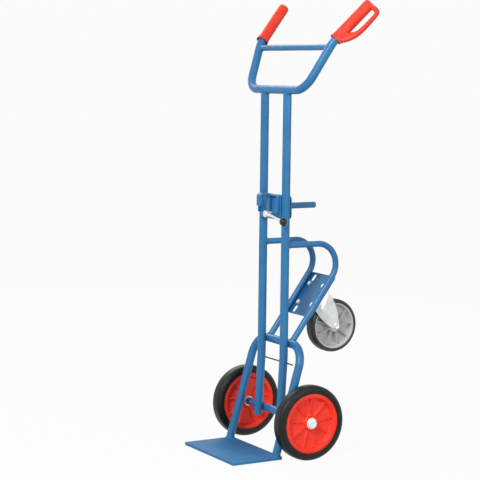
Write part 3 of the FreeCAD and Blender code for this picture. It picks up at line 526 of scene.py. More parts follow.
KNEE_RISE, CROSSBAR_RISE = 165.0, 148.0
CORNER = np.array([188.0, UPRIGHT_Y, HANDLE_Z])
KNEE = np.array([242.0, UPRIGHT_Y + 77, HANDLE_Z + KNEE_RISE])
TIP = np.array([282.0, UPRIGHT_Y + 199, HANDLE_Z + 298])
MIRROR = np.array([-1.0, 1.0, 1.0])
bow_corners = [TIP * MIRROR, KNEE * MIRROR, CORNER * MIRROR, CORNER, KNEE, TIP]
bow = bent_path(bow_corners, [KNEE_BEND, CORNER_BEND, CORNER_BEND, KNEE_BEND])
dress("handle_bow_tube", [tube_skin(bow, TUBE, HANDLE_WALL)], "handle_bow")

ARM = KNEE - CORNER
BAR_END = CORNER + ARM * CROSSBAR_RISE / KNEE_RISE
bar_line = np.stack([BAR_END * MIRROR, BAR_END])
crossbar = tube_skin(bar_line, THIN, THIN_WALL, saddle(CORNER * MIRROR, ARM * MIRROR), saddle(CORNER, ARM))
frame_beads += [weld_bead(end, THIN_BEAD) for end in crossbar[:2]]
dress("handle_crossbar_tube", [crossbar], "handle_crossbar")

# %% [markdown]
# ## Leg hoop and castor bows
# One hoop of tube makes both legs: it crosses behind the uprights and its legs slope
# forwards to the toe plate, where they are cut level. Two thinner bows leave the uprights
# higher up, curve round and come down on the hoop. Between them sits the castor's plate.

# %% Hoop, bows, axle tube and strap rod
HOOP_Y, HOOP_Z, HOOP_BEND = UPRIGHT_Y + TUBE + SEAT, 388.0, 74.0
LEG_X, FOOT_Y, TOE_TOP = 162.0, UPRIGHT_Y - 82, 10.3


def level_cut(points, way):
    """slides a leg's end along it to just above the toe plate: t = (height - z) / rise of way"""
    return points + ((TOE_TOP - points[:, 2]) / way[2])[:, None] * way


shoulder = np.array([LEG_X, HOOP_Y, HOOP_Z])
foot = np.array([LEG_X, FOOT_Y, 0.0])
hoop = bent_path([foot * MIRROR, shoulder * MIRROR, shoulder, foot], [HOOP_BEND, HOOP_BEND])
hoop_skin = tube_skin(hoop, TUBE, TUBE_WALL, level_cut, level_cut)
dress("leg_hoop_tube", [hoop_skin], "leg_hoop")
frame_beads += [weld_bead(hoop_skin[0]), weld_bead(hoop_skin[len(hoop) - 1])]

BOW_TOP, BOW_BEND = 741.0, 76.0
SLOPE = np.radians(54)
CROSS_AXIS = ((0, HOOP_Y, HOOP_Z), (1, 0, 0))
for side, sign in BOTH_SIDES:
    x = sign * UPRIGHT_X
    start = (x, UPRIGHT_Y, BOW_TOP)
    landing = (x, HOOP_Y, HOOP_Z)
    rear = (x, HOOP_Y + (BOW_TOP - HOOP_Z) / np.tan(SLOPE), BOW_TOP)
    path = bent_path([start, rear, landing], [BOW_BEND])
    skin = tube_skin(path, THIN, THIN_WALL, saddle(start, (0, 0, 1)), saddle(*CROSS_AXIS))
    frame_beads += [weld_bead(end, THIN_BEAD) for end in skin[[0, len(path) - 1]]]
    dress(f"castor_bow_tube_{side}", [skin], f"castor_bow_{side}")

AXLE_Y, AXLE_Z = 178.808, 132.5
AXLE_HALF_TUBE, AXLE_TUBE, AXLE_TUBE_WALL = 196.6, 14.0, 3.9
axle_line = np.array([[-AXLE_HALF_TUBE, AXLE_Y, AXLE_Z], [AXLE_HALF_TUBE, AXLE_Y, AXLE_Z]])
dress("axle_tube_skin", [tube_skin(axle_line, AXLE_TUBE, AXLE_TUBE_WALL)], "axle_tube")

ROD_HALF, ROD_R, ROD_BEVEL, ROD_Z = 112.0, 2.5, 0.6, 318.0
ROD_Y = UPRIGHT_Y - (BEND_Z - ROD_Z) * LEAN + TUBE + ROD_R + WELD_GAP
# the end points stand out by a hair, because a path can't hold one place twice
POLE_STEP = 0.01
rod_half_x = np.array([ROD_HALF - ROD_BEVEL, ROD_HALF, ROD_HALF + POLE_STEP])
rod_half_r = np.array([ROD_R, ROD_R - ROD_BEVEL, 0.0])
rod_x = np.concatenate([-rod_half_x[::-1], rod_half_x])
rod_r = np.concatenate([rod_half_r[::-1], rod_half_r])
rod_path = np.stack([rod_x, np.full_like(rod_x, ROD_Y), np.full_like(rod_x, ROD_Z)], 1)
dress("strap_rod_bar", [rings_along(rod_path, rod_r, sides=24)], "strap_rod")

frame_welds = skin_piece("frame_welds", frame_beads)
frame_welds.data.materials.append(powder_coat)
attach(frame_welds, "frame")
print("weld beads on the frame:", len(frame_beads))

# %% [markdown]
# ## Grips
# Each grip is one soft moulding: a sleeve over the tube's end, closed at the top, and a band
# that shields the knuckles. The band leaves the sleeve's lower end in a long web, runs beside
# it and comes back at the top. It is drawn by an outer and an inner line in the band's own
# plane, made smooth, and a rounded section spans from one to the other.

# %% Sleeve and knuckle guard
GRIP_LENGTH = 168.0
GUARD_HALF_WIDTH = 9.0
GUARD_TILT = np.radians(48)
# a sleeve's points are (distance along, radius), a guard line's are (distance out, distance along)
SLEEVE = np.array([
    (170, 0), (170, 10), (169.6, 16.5), (168.2, 18.9), (165.5, 19.8), (155, 20), (75, 20),
    (16, 20.3), (5, 21.2), (-3, 22.8), (-5.2, 22.8), (-6, 22), (-6, 21), (0, 18.6),
    (9, 15.2), (168, 15), (168, 0),
])
GUARD_OUTER = [
    (13, -6), (23, -4), (39, 15), (52, 40), (57.5, 66), (58.5, 98), (57, 134), (55, 149), (52.5, 159.5),
    (47, 166.8), (37, 170), (13, 170),
]
GUARD_INNER = [
    (13, 37), (21, 42), (30, 48.5), (37.5, 56), (42, 65), (44.5, 80), (45, 104), (45, 133), (44, 143.5),
    (39, 151), (29, 154), (13, 154.5),
]


def smooth_line(points, steps):
    """a Catmull-Rom curve through the points: cubic spans whose end slopes follow the neighbours"""
    points = np.asarray(points, float)
    ends = np.concatenate([2 * points[:1] - points[1:2], points, 2 * points[-1:] - points[-2:-1]])
    at = np.linspace(0, len(points) - 1, steps)
    span = np.minimum(at.astype(int), len(points) - 2)
    t = (at - span)[:, None]
    a, b, c, d = (ends[span + k] for k in range(4))
    return 0.5 * (2 * b + (c - a) * t + (2 * a - 5 * b + 4 * c - d) * t**2 + (3 * b - a - 3 * c + d) * t**3)


def spin(profile, base, axis, side, columns=64):
    """a profile of (distance d, radius r) turned about an axis: base + d axis + r circle"""
    around = circle(side, np.cross(axis, side), columns)
    return base + profile[:, None, :1] * axis + profile[:, None, 1:] * around


def rounded_power(wave, power=0.55):
    """a sine or cosine pushed towards its ends, which squares a circle into a rounded block"""
    return np.sign(wave) * np.abs(wave) ** power


def guard_band(base, out, across, along, steps=72, columns=28):
    """sections from line to line: middle + half * R(cos a) + width * R(sin a), closed at both ends"""
    outer, inner = smooth_line(GUARD_OUTER, steps), smooth_line(GUARD_INNER, steps)
    to_space = np.stack([out, along])
    middle = base + (outer + inner) / 2 @ to_space
    half = (outer - inner) / 2 @ to_space
    a = np.linspace(0, 2 * np.pi, columns, endpoint=False)[None, :, None]
    band = middle[:, None] + rounded_power(np.cos(a)) * half[:, None]
    band = band + rounded_power(np.sin(a)) * GUARD_HALF_WIDTH * across
    poles = np.repeat(middle[[0, -1], None], columns, axis=1)
    return np.concatenate([poles[:1], band, poles[1:]])


for side, sign in BOTH_SIDES:
    mirror = np.array([sign, 1, 1])
    along = unit((TIP - KNEE) * mirror)
    out = np.array([sign * np.cos(GUARD_TILT), 0, -np.sin(GUARD_TILT)])
    out = unit(out - (out @ along) * along)
    across = np.cross(along, out)
    base = TIP * mirror - along * GRIP_LENGTH
    sleeve = spin(SLEEVE, base, along, out)
    dress(f"safety_grip_{side}", [sleeve, guard_band(base, out, across, along)], f"grip_{side}")

# %% [markdown]
# ## Large wheels
# A wheel is a red moulded rim with a solid tyre stretched over it. The tyre's section is a
# rounded block, flat across the tread. The rim is a thin web with a thick outer ring, a hub
# and nine ribs on each face. It is worked out as a height over the web: at each radius and
# angle, the rib's height counts where the distance to the nearest rib's middle is small, and
# a smooth step makes the fillet at its foot.

# %% Tyre and ribbed rim
RIBS, RIB_SAMPLES, RIB_OVERLAP = 9, 46, 4.0
TYRE_STEPS = 54
# one side of a tyre from the rim to the tread, in shares of its width and depth
TYRE_SIDE = np.array([
    (0.48, 0), (0.497, 0.2), (0.5, 0.4), (0.482, 0.58), (0.455, 0.67), (0.43, 0.74), (0.39, 0.86),
    (0.29, 0.965), (0.19, 1), (0, 1),
])


def tyre_section(width, rim, depth, bead, seat):
    """half a tyre is its foot on the rim and a smooth line up to the tread; the other half mirrors it"""
    side = np.minimum(smooth_line(TYRE_SIDE, TYRE_STEPS), (0.5, 1)) * (width, depth) + (0, rim)
    half = np.concatenate([[(bead, seat), (bead, rim)], side])
    return np.concatenate([half, half[-2::-1] * (-1, 1)])


def sector_angles(first):
    """angles around a wheel, closest at each rib: sign(v) * |v|^2.2 over its sector"""
    v = np.linspace(-1, 1, RIB_SAMPLES, endpoint=False)
    sector = np.pi / RIBS * np.sign(v) * np.abs(v) ** 2.2
    return (np.arange(RIBS)[:, None] * 2 * np.pi / RIBS + sector).ravel() + first


def soft_step(value):
    """0 below 0, 1 above 1 and 3 v^2 - 2 v^3 between"""
    value = np.clip(value, 0, 1)
    return value * value * (3 - 2 * value)


def ribbed_rim(profile, centre, first, rib_low, rib_high, rib_half, fillet):
    """a profile turned about X, raised to its ribs: x = max(web, web + (rib - web) * soft step)"""
    theta = sector_angles(first)
    nearest = (theta - first + np.pi / RIBS) % (2 * np.pi / RIBS) - np.pi / RIBS
    x0, r = profile[:, :1], profile[:, 1:]
    rib = rib_low[0] + (r - rib_low[1]) * (rib_high[0] - rib_low[0]) / (rib_high[1] - rib_low[1])
    step = soft_step((rib_half + fillet - np.abs(r * np.sin(nearest))) / fillet)
    lift = step * ((r > rib_low[1]) & (r < rib_high[1] + RIB_OVERLAP))
    web = np.abs(x0)
    x = np.maximum(web, web + (rib - web) * lift) * np.sign(x0)
    return centre + np.stack([x, r * np.sin(theta), r * np.cos(theta)], -1)


def face_profile(points, steps):
    """points of a rim's face from hub to ring, filled in evenly between them"""
    points = np.asarray(points, float)
    run = run_length(points)
    at = np.union1d(np.linspace(0, run[-1], steps), run)
    return np.stack([np.interp(at, run, points[:, k]) for k in range(2)], 1)


def rim_profile(face, seat_x, seat_r):
    """both faces of a rim, joined outside by the tyre's seat and inside by the bore"""
    half = np.concatenate([face, [(seat_x, face[-1, 1]), (seat_x, seat_r)]])
    return np.concatenate([half, half[::-1] * (-1, 1)])


WHEEL_X = 218.0
TYRE_WIDTH, RIM_RADIUS, TYRE_DEPTH = 52.0, 106.0, 26.5
WHEEL_SEAT = (17.0, 100.0)
WHEEL_FACE = face_profile(
    [
        (18, 16), (18, 21), (17.4, 22.4), (12.8, 25.6), (11.4, 26.3), (10, 28.6), (9.0, 30), (8.5, 32),
        (8.5, 82), (9.4, 84.6), (20.8, 90.9), (22.4, 91.8), (23, 93.4), (23, 104), (22.5, 105.4),
        (21.4, 106),
    ],
    steps=70,
)
wheel_tyre = tyre_section(TYRE_WIDTH, RIM_RADIUS, TYRE_DEPTH, *WHEEL_SEAT)
wheel_rim = rim_profile(WHEEL_FACE, *WHEEL_SEAT)
ALONG_X, UP = np.array([1.0, 0, 0]), np.array([0, 0, 1.0])

for side, sign in BOTH_SIDES:
    centre = np.array([sign * WHEEL_X, AXLE_Y, AXLE_Z])
    tyre = spin(wheel_tyre, centre, ALONG_X, UP, columns=144)
    dress(f"tyre_{side}", [tyre], f"wheel_{side}_tyre")
    rim = ribbed_rim(
        wheel_rim, centre, first=0.0, rib_low=(12.0, 25.0), rib_high=(17.0, 90.0), rib_half=1.7, fillet=3.6,
    )
    dress(f"rim_{side}", [rim], f"wheel_{side}_rim")

# %% [markdown]
# ## Hub caps
# A bright pressed cap closes each end of the axle. It has a low brim against the hub, rounded
# shoulders, and a small dimple in the middle of its face, left by the tool that drove it on.

# %% Caps
CAP_X = 239.4
# a cap's section as (distance out from the hub, radius)
CAP = np.array([
    (7.7, 0), (7.7, 2.5), (7.9, 3), (8.8, 3.3), (9, 4.2), (9, 13), (8.7, 14.6), (7.9, 16),
    (6.6, 17), (5, 17.4), (2.4, 17.6), (1.6, 18.6), (1.4, 19.6), (0.8, 20), (0, 19.6), (0, 10),
    (7.5, 10), (7.5, 0),
])
caps = [spin(CAP * (sign, 1), np.array([sign * CAP_X, AXLE_Y, AXLE_Z]), ALONG_X, UP) for sign in (1, -1)]
dress("hub_cap_pair", caps, "hub_caps")

# %% [markdown]
# ## Castor wheel
# The castor's wheel is made like the large ones, only smaller and greyer: a polyamide rim
# with nine thin ribs, and a narrow band of hard rubber on it.

# %% Castor tyre and rim
CASTOR_AT = np.array([0.0, 409.484, 430.233])
CASTOR_RIB_TURN = np.radians(6)
BAND_WIDTH, CASTOR_RIM_RADIUS, BAND_DEPTH = 46.0, 84.0, 13.5
CASTOR_SEAT = (16.0, 79.0)
CASTOR_FACE = face_profile(
    [
        (28, 10), (28, 19.4), (27.2, 20.6), (23.6, 22.8), (8, 24.4), (3.6, 25.6), (2.5, 27.8), (2.5, 69),
        (3.4, 71.6), (19.4, 77.2), (20.5, 78), (21, 79.2), (21, 83), (20.4, 84),
    ],
    steps=60,
)
castor_band = tyre_section(BAND_WIDTH, CASTOR_RIM_RADIUS, BAND_DEPTH, *CASTOR_SEAT)
castor_tyre = spin(castor_band, CASTOR_AT, ALONG_X, UP, columns=128)
castor_rim = rim_profile(CASTOR_FACE, *CASTOR_SEAT)
dress("castor_tyre_band", [castor_tyre], "castor_tyre")
rim = ribbed_rim(
    castor_rim, CASTOR_AT, first=CASTOR_RIB_TURN,
    rib_low=(23.0, 22.0), rib_high=(16.0, 74.5), rib_half=1.3, fillet=1.2,
)
dress("castor_rim_ribbed", [rim], "castor_rim")

# %% [markdown]
# ## Castor fork
# The fork is bent from one thick sheet: a crown under the ball race and two legs that trail
# down to the axle. A leg is pressed with a crease that starts near its lower edge at the
# crown, runs towards the middle and fades out before the axle. The broad facet above the
# crease catches the light, and the flange below it is bent back and stays grey. A flat plate
# would look like a cut-out here, so each leg is worked out along and across, with its two
# faces lifted together towards the crease.

# %% Crown, ball race and creased legs
KING = np.array([0.0, 311.384, 554.658])
UP_SLOPE = np.array([0, np.cos(SLOPE), np.sin(SLOPE)])
OFF_SLOPE = np.array([0, np.sin(SLOPE), -np.cos(SLOPE)])
RACE_Z, CROWN_Z, SHEET = 31.3, 38.3, 3.5
CROWN_HALF, LEG_IN, PIN_ROOM = 42.5, 28.4, 7.06
CROWN_POINTS, CROWN_BEVEL, CROWN_INSET = 96, 0.6, 0.985
LEG_OUT = LEG_IN + SHEET
UPPER_BULGE, LOWER_BULGE = 13.0, 8.0
EDGE_STEPS, EYE_STEPS = 30, 13
EYE_AT, EYE = np.array([43.0, 152.5]), 13.0
# the crease's place is a share of the leg's width, its rise and fade are shares of the leg's length
CREASE_LIFT, CREASE_START, CREASE_DRIFT = 12.0, 0.8, 0.4
RISE_RUN, FADE_END, FADE_RUN = 0.12, 0.66, 0.22
# the race's section as (distance off the bows' plane, radius)
RACE = np.array([
    (RACE_Z, PIN_ROOM), (RACE_Z, 24.7), (32.3, 26), (32.95, 28), (32.3, 30), (RACE_Z, 31.3),
    (RACE_Z, 37.2), (31.9, 38), (CROWN_Z, 38), (CROWN_Z, PIN_ROOM),
])


def on_castor(points):
    """turns the castor's own axes, across, down the slope and off the bows' plane, to the frame's"""
    return KING + points @ np.stack([ALONG_X, -UP_SLOPE, OFF_SLOPE])


def leg_edge(corner, turn, bulge):
    """a line from a crown corner to the eye, bowed by 4 bulge t (1 - t), then round the eye to its tip"""
    back = corner - EYE_AT
    touch = np.arctan2(back[1], back[0]) + turn * np.arccos(EYE / np.linalg.norm(back))
    ahead = EYE_AT - (0, CROWN_Z)
    swing = (np.arctan2(ahead[1], ahead[0]) - touch + np.pi) % (2 * np.pi) - np.pi
    angles = touch + swing * np.linspace(0, 1, EYE_STEPS)
    eye = EYE_AT + EYE * np.stack([np.cos(angles), np.sin(angles)], 1)
    t = np.linspace(0, 1, EDGE_STEPS)[:-1, None]
    chord = eye[0] - corner
    outward = unit(np.array([-chord[1], chord[0]]))
    run = corner + t * chord + 4 * bulge * t * (1 - t) * outward * -turn
    return np.concatenate([run, eye])


def fork_leg(sign):
    """across a leg x = flat + lift * ridge, where ridge is 1 at the crease and falls to 0 at both edges"""
    upper = leg_edge(np.array([-CROWN_HALF, CROWN_Z]), -1, UPPER_BULGE)
    lower = leg_edge(np.array([CROWN_HALF, CROWN_Z]), 1, LOWER_BULGE)
    along = np.linspace(0, 1, len(upper))[:, None]
    crease = CREASE_START - CREASE_DRIFT * along
    knots = np.array([0, 0.04, 0.5, 0.94, 1, 1.06, 1.5, 1.96, 2])
    share = np.where(knots <= 1, knots * crease, crease + (knots - 1) * (1 - crease))[..., None]
    ridge = CREASE_LIFT * soft_step(along / RISE_RUN) * soft_step((FADE_END - along) / FADE_RUN)
    lift = ridge * (1 - np.abs(knots - 1))
    flat = upper[:, None] * (1 - share) + lower[:, None] * share
    faces = [np.concatenate([sign * x[..., None], flat], -1) for x in (LEG_OUT + lift, LEG_IN + lift)]
    loops = np.concatenate([faces[0], faces[1][:, ::-1]], 1)
    root = np.broadcast_to(loops[:1].mean(1, keepdims=True), loops[:1].shape)
    return on_castor(np.concatenate([root, loops]))


def crown_sheet():
    """a sheet with round corners and a round hole: rings from the hole to the outline and back"""
    turn = np.linspace(0, 2 * np.pi, CROWN_POINTS, endpoint=False)
    round_loop = np.stack([np.cos(turn), np.sin(turn)], 1)
    outline = rounded_power(round_loop, power=0.2) * (LEG_OUT, CROWN_HALF)
    hole, inset = round_loop * PIN_ROOM, outline * CROWN_INSET
    rows = [
        (hole, 0), (inset, 0), (outline, CROWN_BEVEL),
        (outline, SHEET - CROWN_BEVEL), (inset, SHEET), (hole, SHEET),
    ]
    loops = [np.column_stack([ring, np.full(CROWN_POINTS, CROWN_Z + rise)]) for ring, rise in rows]
    return on_castor(np.stack(loops))


race = spin(RACE, KING, OFF_SLOPE, ALONG_X)
dress("castor_fork_pressing", [race, crown_sheet(), fork_leg(1), fork_leg(-1)], "castor_fork")

# %% [markdown]
# ## Nuts and bolts
# A hexagon head is turned from bar before it is used, so its corners are cut by a cone and
# each flat ends in a shallow arch. A profile turned about the axis gives the cone and the
# shank, and no point may stand further out than the hexagon does at its angle.

# %% Hexagon fasteners
FACE_SHARE, CONE_SLOPE = 0.94, 0.58
DISH_FLOOR, DISH_RIM, SHANK_BEVEL = 1.6, 0.7, 0.9


def hexagon(profile, flats, base, axis, side, columns=72):
    """a turned profile cut to a hexagon: r = min(profile, flats / 2 / cos(angle from a flat's middle))"""
    turn = np.linspace(0, 2 * np.pi, columns, endpoint=False)
    limit = flats / 2 / np.cos(turn % (np.pi / 3) - np.pi / 6)
    radius = np.minimum(profile[:, 1:], limit)[..., None]
    return base + profile[:, None, :1] * axis + radius * circle(side, np.cross(axis, side), columns)


def cone_end(flats):
    """steps (depth, radius) of the cone on a hexagon's end, from its face to its full corners"""
    corner = flats / np.sqrt(3)
    face = flats / 2 * FACE_SHARE
    depth = np.linspace(0, 1, 5)
    return np.stack([depth * (corner - face) * CONE_SLOPE, face + depth * (corner - face)], 1)


def nut(flats, low, high, bore, base, axis, side):
    """a bored hexagon from low to high along the axis, with a cone on both ends"""
    cone = cone_end(flats)
    rows = [[(low, bore)], cone + (low, 0), cone[::-1] * (-1, 1) + (high, 0), [(high, bore)]]
    return hexagon(np.concatenate(rows), flats, base, axis, side)


def bolt(flats, low, seat, shank, end, base, axis, side, dish=0.0):
    """a head from its face at low, dished or flat, to its seat, on a shank that ends in a small bevel"""
    way = np.sign(end - low)
    deep, rim = low + way * dish, low + way * dish / 4
    face = [(deep, 0), (deep, shank - DISH_FLOOR), (rim, shank - DISH_RIM)]
    cone = cone_end(flats) * (way, 1) + (low, 0)
    under = [(seat, flats / np.sqrt(3)), (seat, shank)]
    tip = [(end - way, shank), (end, shank - SHANK_BEVEL), (end, 0)]
    return hexagon(np.concatenate([face, cone, under, tip]), flats, base, axis, side)


PLATE_FLATS, PLATE_SHANK, BOLT_X, BOLT_Y = 16.0, 5.0, 46.0, 40.0
HEAD_FACE, HEAD_SEAT, NUT_SEAT, NUT_FACE, SHANK_END = 4.3, 11.3, 19.3, 27.3, 29.3
KING_FLATS, KING_SHANK, KING_NUT = 22.0, 7.0, (42.2, 50.2)
corners = [on_castor(np.array([x, y, 0.0])) for x in (-BOLT_X, BOLT_X) for y in (-BOLT_Y, BOLT_Y)]
plate_bolts = [
    bolt(PLATE_FLATS, HEAD_FACE, HEAD_SEAT, PLATE_SHANK, SHANK_END, at, OFF_SLOPE, ALONG_X)
    for at in corners
]
plate_nuts = [nut(PLATE_FLATS, NUT_SEAT, NUT_FACE, PLATE_SHANK, at, OFF_SLOPE, ALONG_X) for at in corners]
king_nut = nut(KING_FLATS, *KING_NUT, KING_SHANK, KING, OFF_SLOPE, ALONG_X)
dress("castor_bolt_set", plate_bolts, "castor_bolts")
dress("castor_nut_set", plate_nuts, "castor_nuts")
dress("king_nut", [king_nut], "castor_king_nut")

AXLE_FLATS, AXLE_SHANK, AXLE_DISH = 18.0, 6.0, 3.5
AXLE_HEAD_X, AXLE_NUT_X, AXLE_END_X = 38.9, -39.9, -41.9
WASHER_BORE, WASHER_RADIUS, WASHER_OUT = 6.3, 12.0, LEG_OUT + 1.3
washer = np.array([
    (LEG_OUT, WASHER_BORE), (LEG_OUT, WASHER_RADIUS),
    (WASHER_OUT, WASHER_RADIUS), (WASHER_OUT, WASHER_BORE),
])
axle_bolt = [
    bolt(
        AXLE_FLATS, AXLE_HEAD_X, WASHER_OUT, AXLE_SHANK, AXLE_END_X,
        CASTOR_AT, ALONG_X, OFF_SLOPE, AXLE_DISH,
    ),
    spin(washer, CASTOR_AT, ALONG_X, UP),
]
dress("castor_axle_bolt_set", axle_bolt, "castor_axle_bolt")
axle_nut = nut(AXLE_FLATS, AXLE_NUT_X, -LEG_OUT, AXLE_SHANK, CASTOR_AT, ALONG_X, OFF_SLOPE)
dress("castor_axle_lock_nut", [axle_nut], "castor_axle_nut")

# %% [markdown]
# ## Sheet and bar
# The toe plate, the two plates of the hook carriage and the hook are cut from sheet and bar.
# A cut edge is never quite sharp, and powder gathers on it, so a plate's edge is a small
# quarter circle that catches the light. A plate is a set of loops: from the middle of one
# face, or from its hole, out to the edge, round it and back on the other face. The hook is a
# flat bar carried along a bent path.

# %% Plates with soft edges, and the hook
LOOP_POINTS, EDGE_ROWS = 64, 5
ALONG_Y = np.array([0, 1.0, 0])


def sheet(half, corner, faces, edge, centre, axes, hole=None):
    """loops at inset e (1 - sin a) and depth e (1 - cos a), from the middle or a hole (x, y, radius)"""
    turn = (np.arange(LOOP_POINTS) + 0.5) / LOOP_POINTS * 2 * np.pi
    round_loop = np.stack([np.cos(turn), np.sin(turn)], 1)
    core = np.sign(round_loop) * (np.array(half) - corner)
    a = np.linspace(0, np.pi / 2, EDGE_ROWS)
    inset, depth = edge * (1 - np.sin(a)), edge * (1 - np.cos(a))
    inner = round_loop * 0 if hole is None else round_loop * hole[2] + hole[:2]
    loops = [core + (corner - each) * round_loop for each in inset]
    rows = [inner, *loops, *loops[::-1], inner]
    heights = np.concatenate([[faces[0]], faces[0] + depth, (faces[1] - depth)[::-1], [faces[1]]])
    flat = [np.column_stack([row, np.full(LOOP_POINTS, at)]) for row, at in zip(rows, heights)]
    return np.array(centre) + np.stack(flat) @ np.stack(axes)


LEVEL, FACING, SIDEWAYS = (ALONG_X, ALONG_Y, UP), (ALONG_X, UP, ALONG_Y), (ALONG_Y, UP, ALONG_X)
TOE_HALF, TOE_CORNER, TOE_FACES, TOE_EDGE = (178, 100), 6, (0, 10), 1.2
toe_sheet = sheet(TOE_HALF, TOE_CORNER, TOE_FACES, TOE_EDGE, (0, 0, 0), LEVEL)
toe = dress("toe_plate_sheet", [toe_sheet], "toe_plate")
toe.data.materials[0] = scuffed_coat

CARRIAGE_Z, SCREW_Z, SCREW_ROOM, PLATE_EDGE = 874.0, 848.0, 6.1, 0.9
REAR_HALF, REAR_CORNER, REAR_FACES = (84, 41), 14, (175.3, 180.3)
rear_hole = (0, SCREW_Z - CARRIAGE_Z, SCREW_ROOM)
rear = sheet(REAR_HALF, REAR_CORNER, REAR_FACES, PLATE_EDGE, (0, 0, CARRIAGE_Z), FACING, rear_hole)
dress("carriage_rear_plate", [rear], "carriage_rear")

FRONT_HALF, FRONT_CORNER, FRONT_FACES, FRONT_Z = (72, 43.5), 3, (140.7, 144.7), 874.5
FLANGE_HALF, FLANGE_CORNER, FLANGE_Y = 6.25, 2.5, 134.95
CHEEK_HALF, CHEEK_FACES, CHEEK_Z = 33.5, np.array([60, 64]), 884.5
LIP_HALF, LIP_FACES, LIP_X = 25.85, (914, 918), 38.15
front_hole = (0, SCREW_Z - FRONT_Z, SCREW_ROOM)
front = [sheet(FRONT_HALF, FRONT_CORNER, FRONT_FACES, PLATE_EDGE, (0, 0, FRONT_Z), FACING, front_hole)]
for sign in (1, -1):
    cheek = (FLANGE_HALF, CHEEK_HALF), FLANGE_CORNER, np.sort(sign * CHEEK_FACES), PLATE_EDGE
    front.append(sheet(*cheek, (0, FLANGE_Y, CHEEK_Z), SIDEWAYS))
    lip = (LIP_HALF, FLANGE_HALF), FLANGE_CORNER, LIP_FACES, PLATE_EDGE
    front.append(sheet(*lip, (sign * LIP_X, FLANGE_Y, 0), LEVEL))
dress("carriage_front_folded", front, "carriage_front")

HOOK_HALF, HOOK_POINTS, HOOK_SQUARE, HOOK_BLUNT = (5.5, 12.0), 40, 0.3, 0.93
HOOK_BACK_Y, HOOK_FRONT_Y, HOOK_BEND = 135.2, 96.5, 6.0
HOOK_FOOT, HOOK_TOP, HOOK_TIP = 862.0, 916.5, 878.0
hook_corners = [
    (0, HOOK_BACK_Y, HOOK_FOOT), (0, HOOK_BACK_Y, HOOK_TOP), (0, HOOK_FRONT_Y, HOOK_TOP),
    (0, HOOK_FRONT_Y, HOOK_TIP),
]
hook_path = bent_path(hook_corners, [HOOK_BEND, HOOK_BEND])
ahead, side, up = carried_frames(hook_path)
turn = np.linspace(0, 2 * np.pi, HOOK_POINTS, endpoint=False)[None, :, None]
around = rounded_power(np.cos(turn), HOOK_SQUARE) * HOOK_HALF[0] * side[:, None]
around = around + rounded_power(np.sin(turn), HOOK_SQUARE) * HOOK_HALF[1] * up[:, None]
hook = hook_path[:, None] + around
blunt = hook_path[[0, -1], None] + HOOK_BLUNT * around[[0, -1]]
middles = np.repeat(hook_path[[0, -1], None], HOOK_POINTS, axis=1)
# the last full rings step in by 1 mm, which leaves room for the blunt ends
hook[0] += ahead[0]
hook[-1] -= ahead[-1]
hook_rows = np.concatenate([middles[:1], blunt[:1], hook, blunt[1:], middles[1:]])
dress("drum_hook_bar", [hook_rows], "drum_hook")

# %% [markdown]
# ## Peg, lever and knob
# A short piece of tube stands out behind the hook carriage. At the front, the clamp lever is
# a turned hub on the screw, with a groove before the plate, and a rod that thickens to a
# collar where it meets the hub. It ends in a ball: a circle turned about the lever's line,
# with a small flat where the rod enters it.

# %% Peg, clamp lever and ball knob
TURNED_COLUMNS = 48
PEG_START, PEG_LENGTH = REAR_FACES[1], 148.0
# turned sections as (distance along, radius)
PEG = np.array([
    (0, 8), (0, 11), (PEG_LENGTH - 0.8, 11), (PEG_LENGTH, 10.3), (PEG_LENGTH, 8.6), (PEG_LENGTH - 0.6, 8),
])
peg = spin(PEG, np.array([0, PEG_START, CARRIAGE_Z]), ALONG_Y, UP, TURNED_COLUMNS)
dress("carriage_peg_tube", [peg], "carriage_peg")
carriage_welds = skin_piece("carriage_welds", [weld_bead(peg[1], THIN_BEAD)])
carriage_welds.data.materials.append(powder_coat)
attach(carriage_welds, "hook_carriage")

DROOP, RAKE = np.radians(8.3), np.radians(4)
KNOB_RADIUS, KNOB_FLAT, KNOB_BORE, LEVER_LENGTH = 14.0, 5.6, 5.0, 127.0
LEVER_PIVOT = np.array([0, UPRIGHT_Y - 30.6, SCREW_Z])
lever_way = np.array([np.cos(RAKE) * np.cos(DROOP), -np.sin(RAKE), -np.cos(RAKE) * np.sin(DROOP)])
lever_side = unit(np.cross(UP, lever_way))
knob_at = LEVER_PIVOT + lever_way * LEVER_LENGTH
angle = np.linspace(np.arcsin(KNOB_FLAT / KNOB_RADIUS), np.pi, 30)
ball = np.stack([-np.cos(angle), np.sin(angle)], 1) * KNOB_RADIUS
knob = np.concatenate([[(0, 0), (0, KNOB_BORE), (ball[0, 0] + 0.2, KNOB_BORE)], ball])
knob[-1, 1] = 0
knob_skin = spin(knob, knob_at, lever_way, lever_side, TURNED_COLUMNS)
dress("lever_ball", [knob_skin], "lever_knob")

LEVER_HUB = np.array([
    (-11, 6), (-11, 9.4), (-10.6, 10.6), (-9.6, 11.6), (-8.2, 12), (6.6, 12), (7.2, 11.2),
    (8.4, 11.2), (9, 12), (10.4, 12), (11, 11.4), (11, 6),
])
LEVER_ROD = np.array([
    (8, 0), (8, 7.2), (13, 7.2), (14.6, 6.9), (16.2, 6), (18, 5.3), (21, 5),
    (LEVER_LENGTH - 12, 4.9), (LEVER_LENGTH - 1, 4.9), (LEVER_LENGTH - 1, 0),
])
hub = spin(LEVER_HUB, LEVER_PIVOT, ALONG_Y, UP, TURNED_COLUMNS)
lever_rod = spin(LEVER_ROD, LEVER_PIVOT, lever_way, lever_side, TURNED_COLUMNS)
dress("clamp_lever_turned", [hub, lever_rod], "clamp_lever")

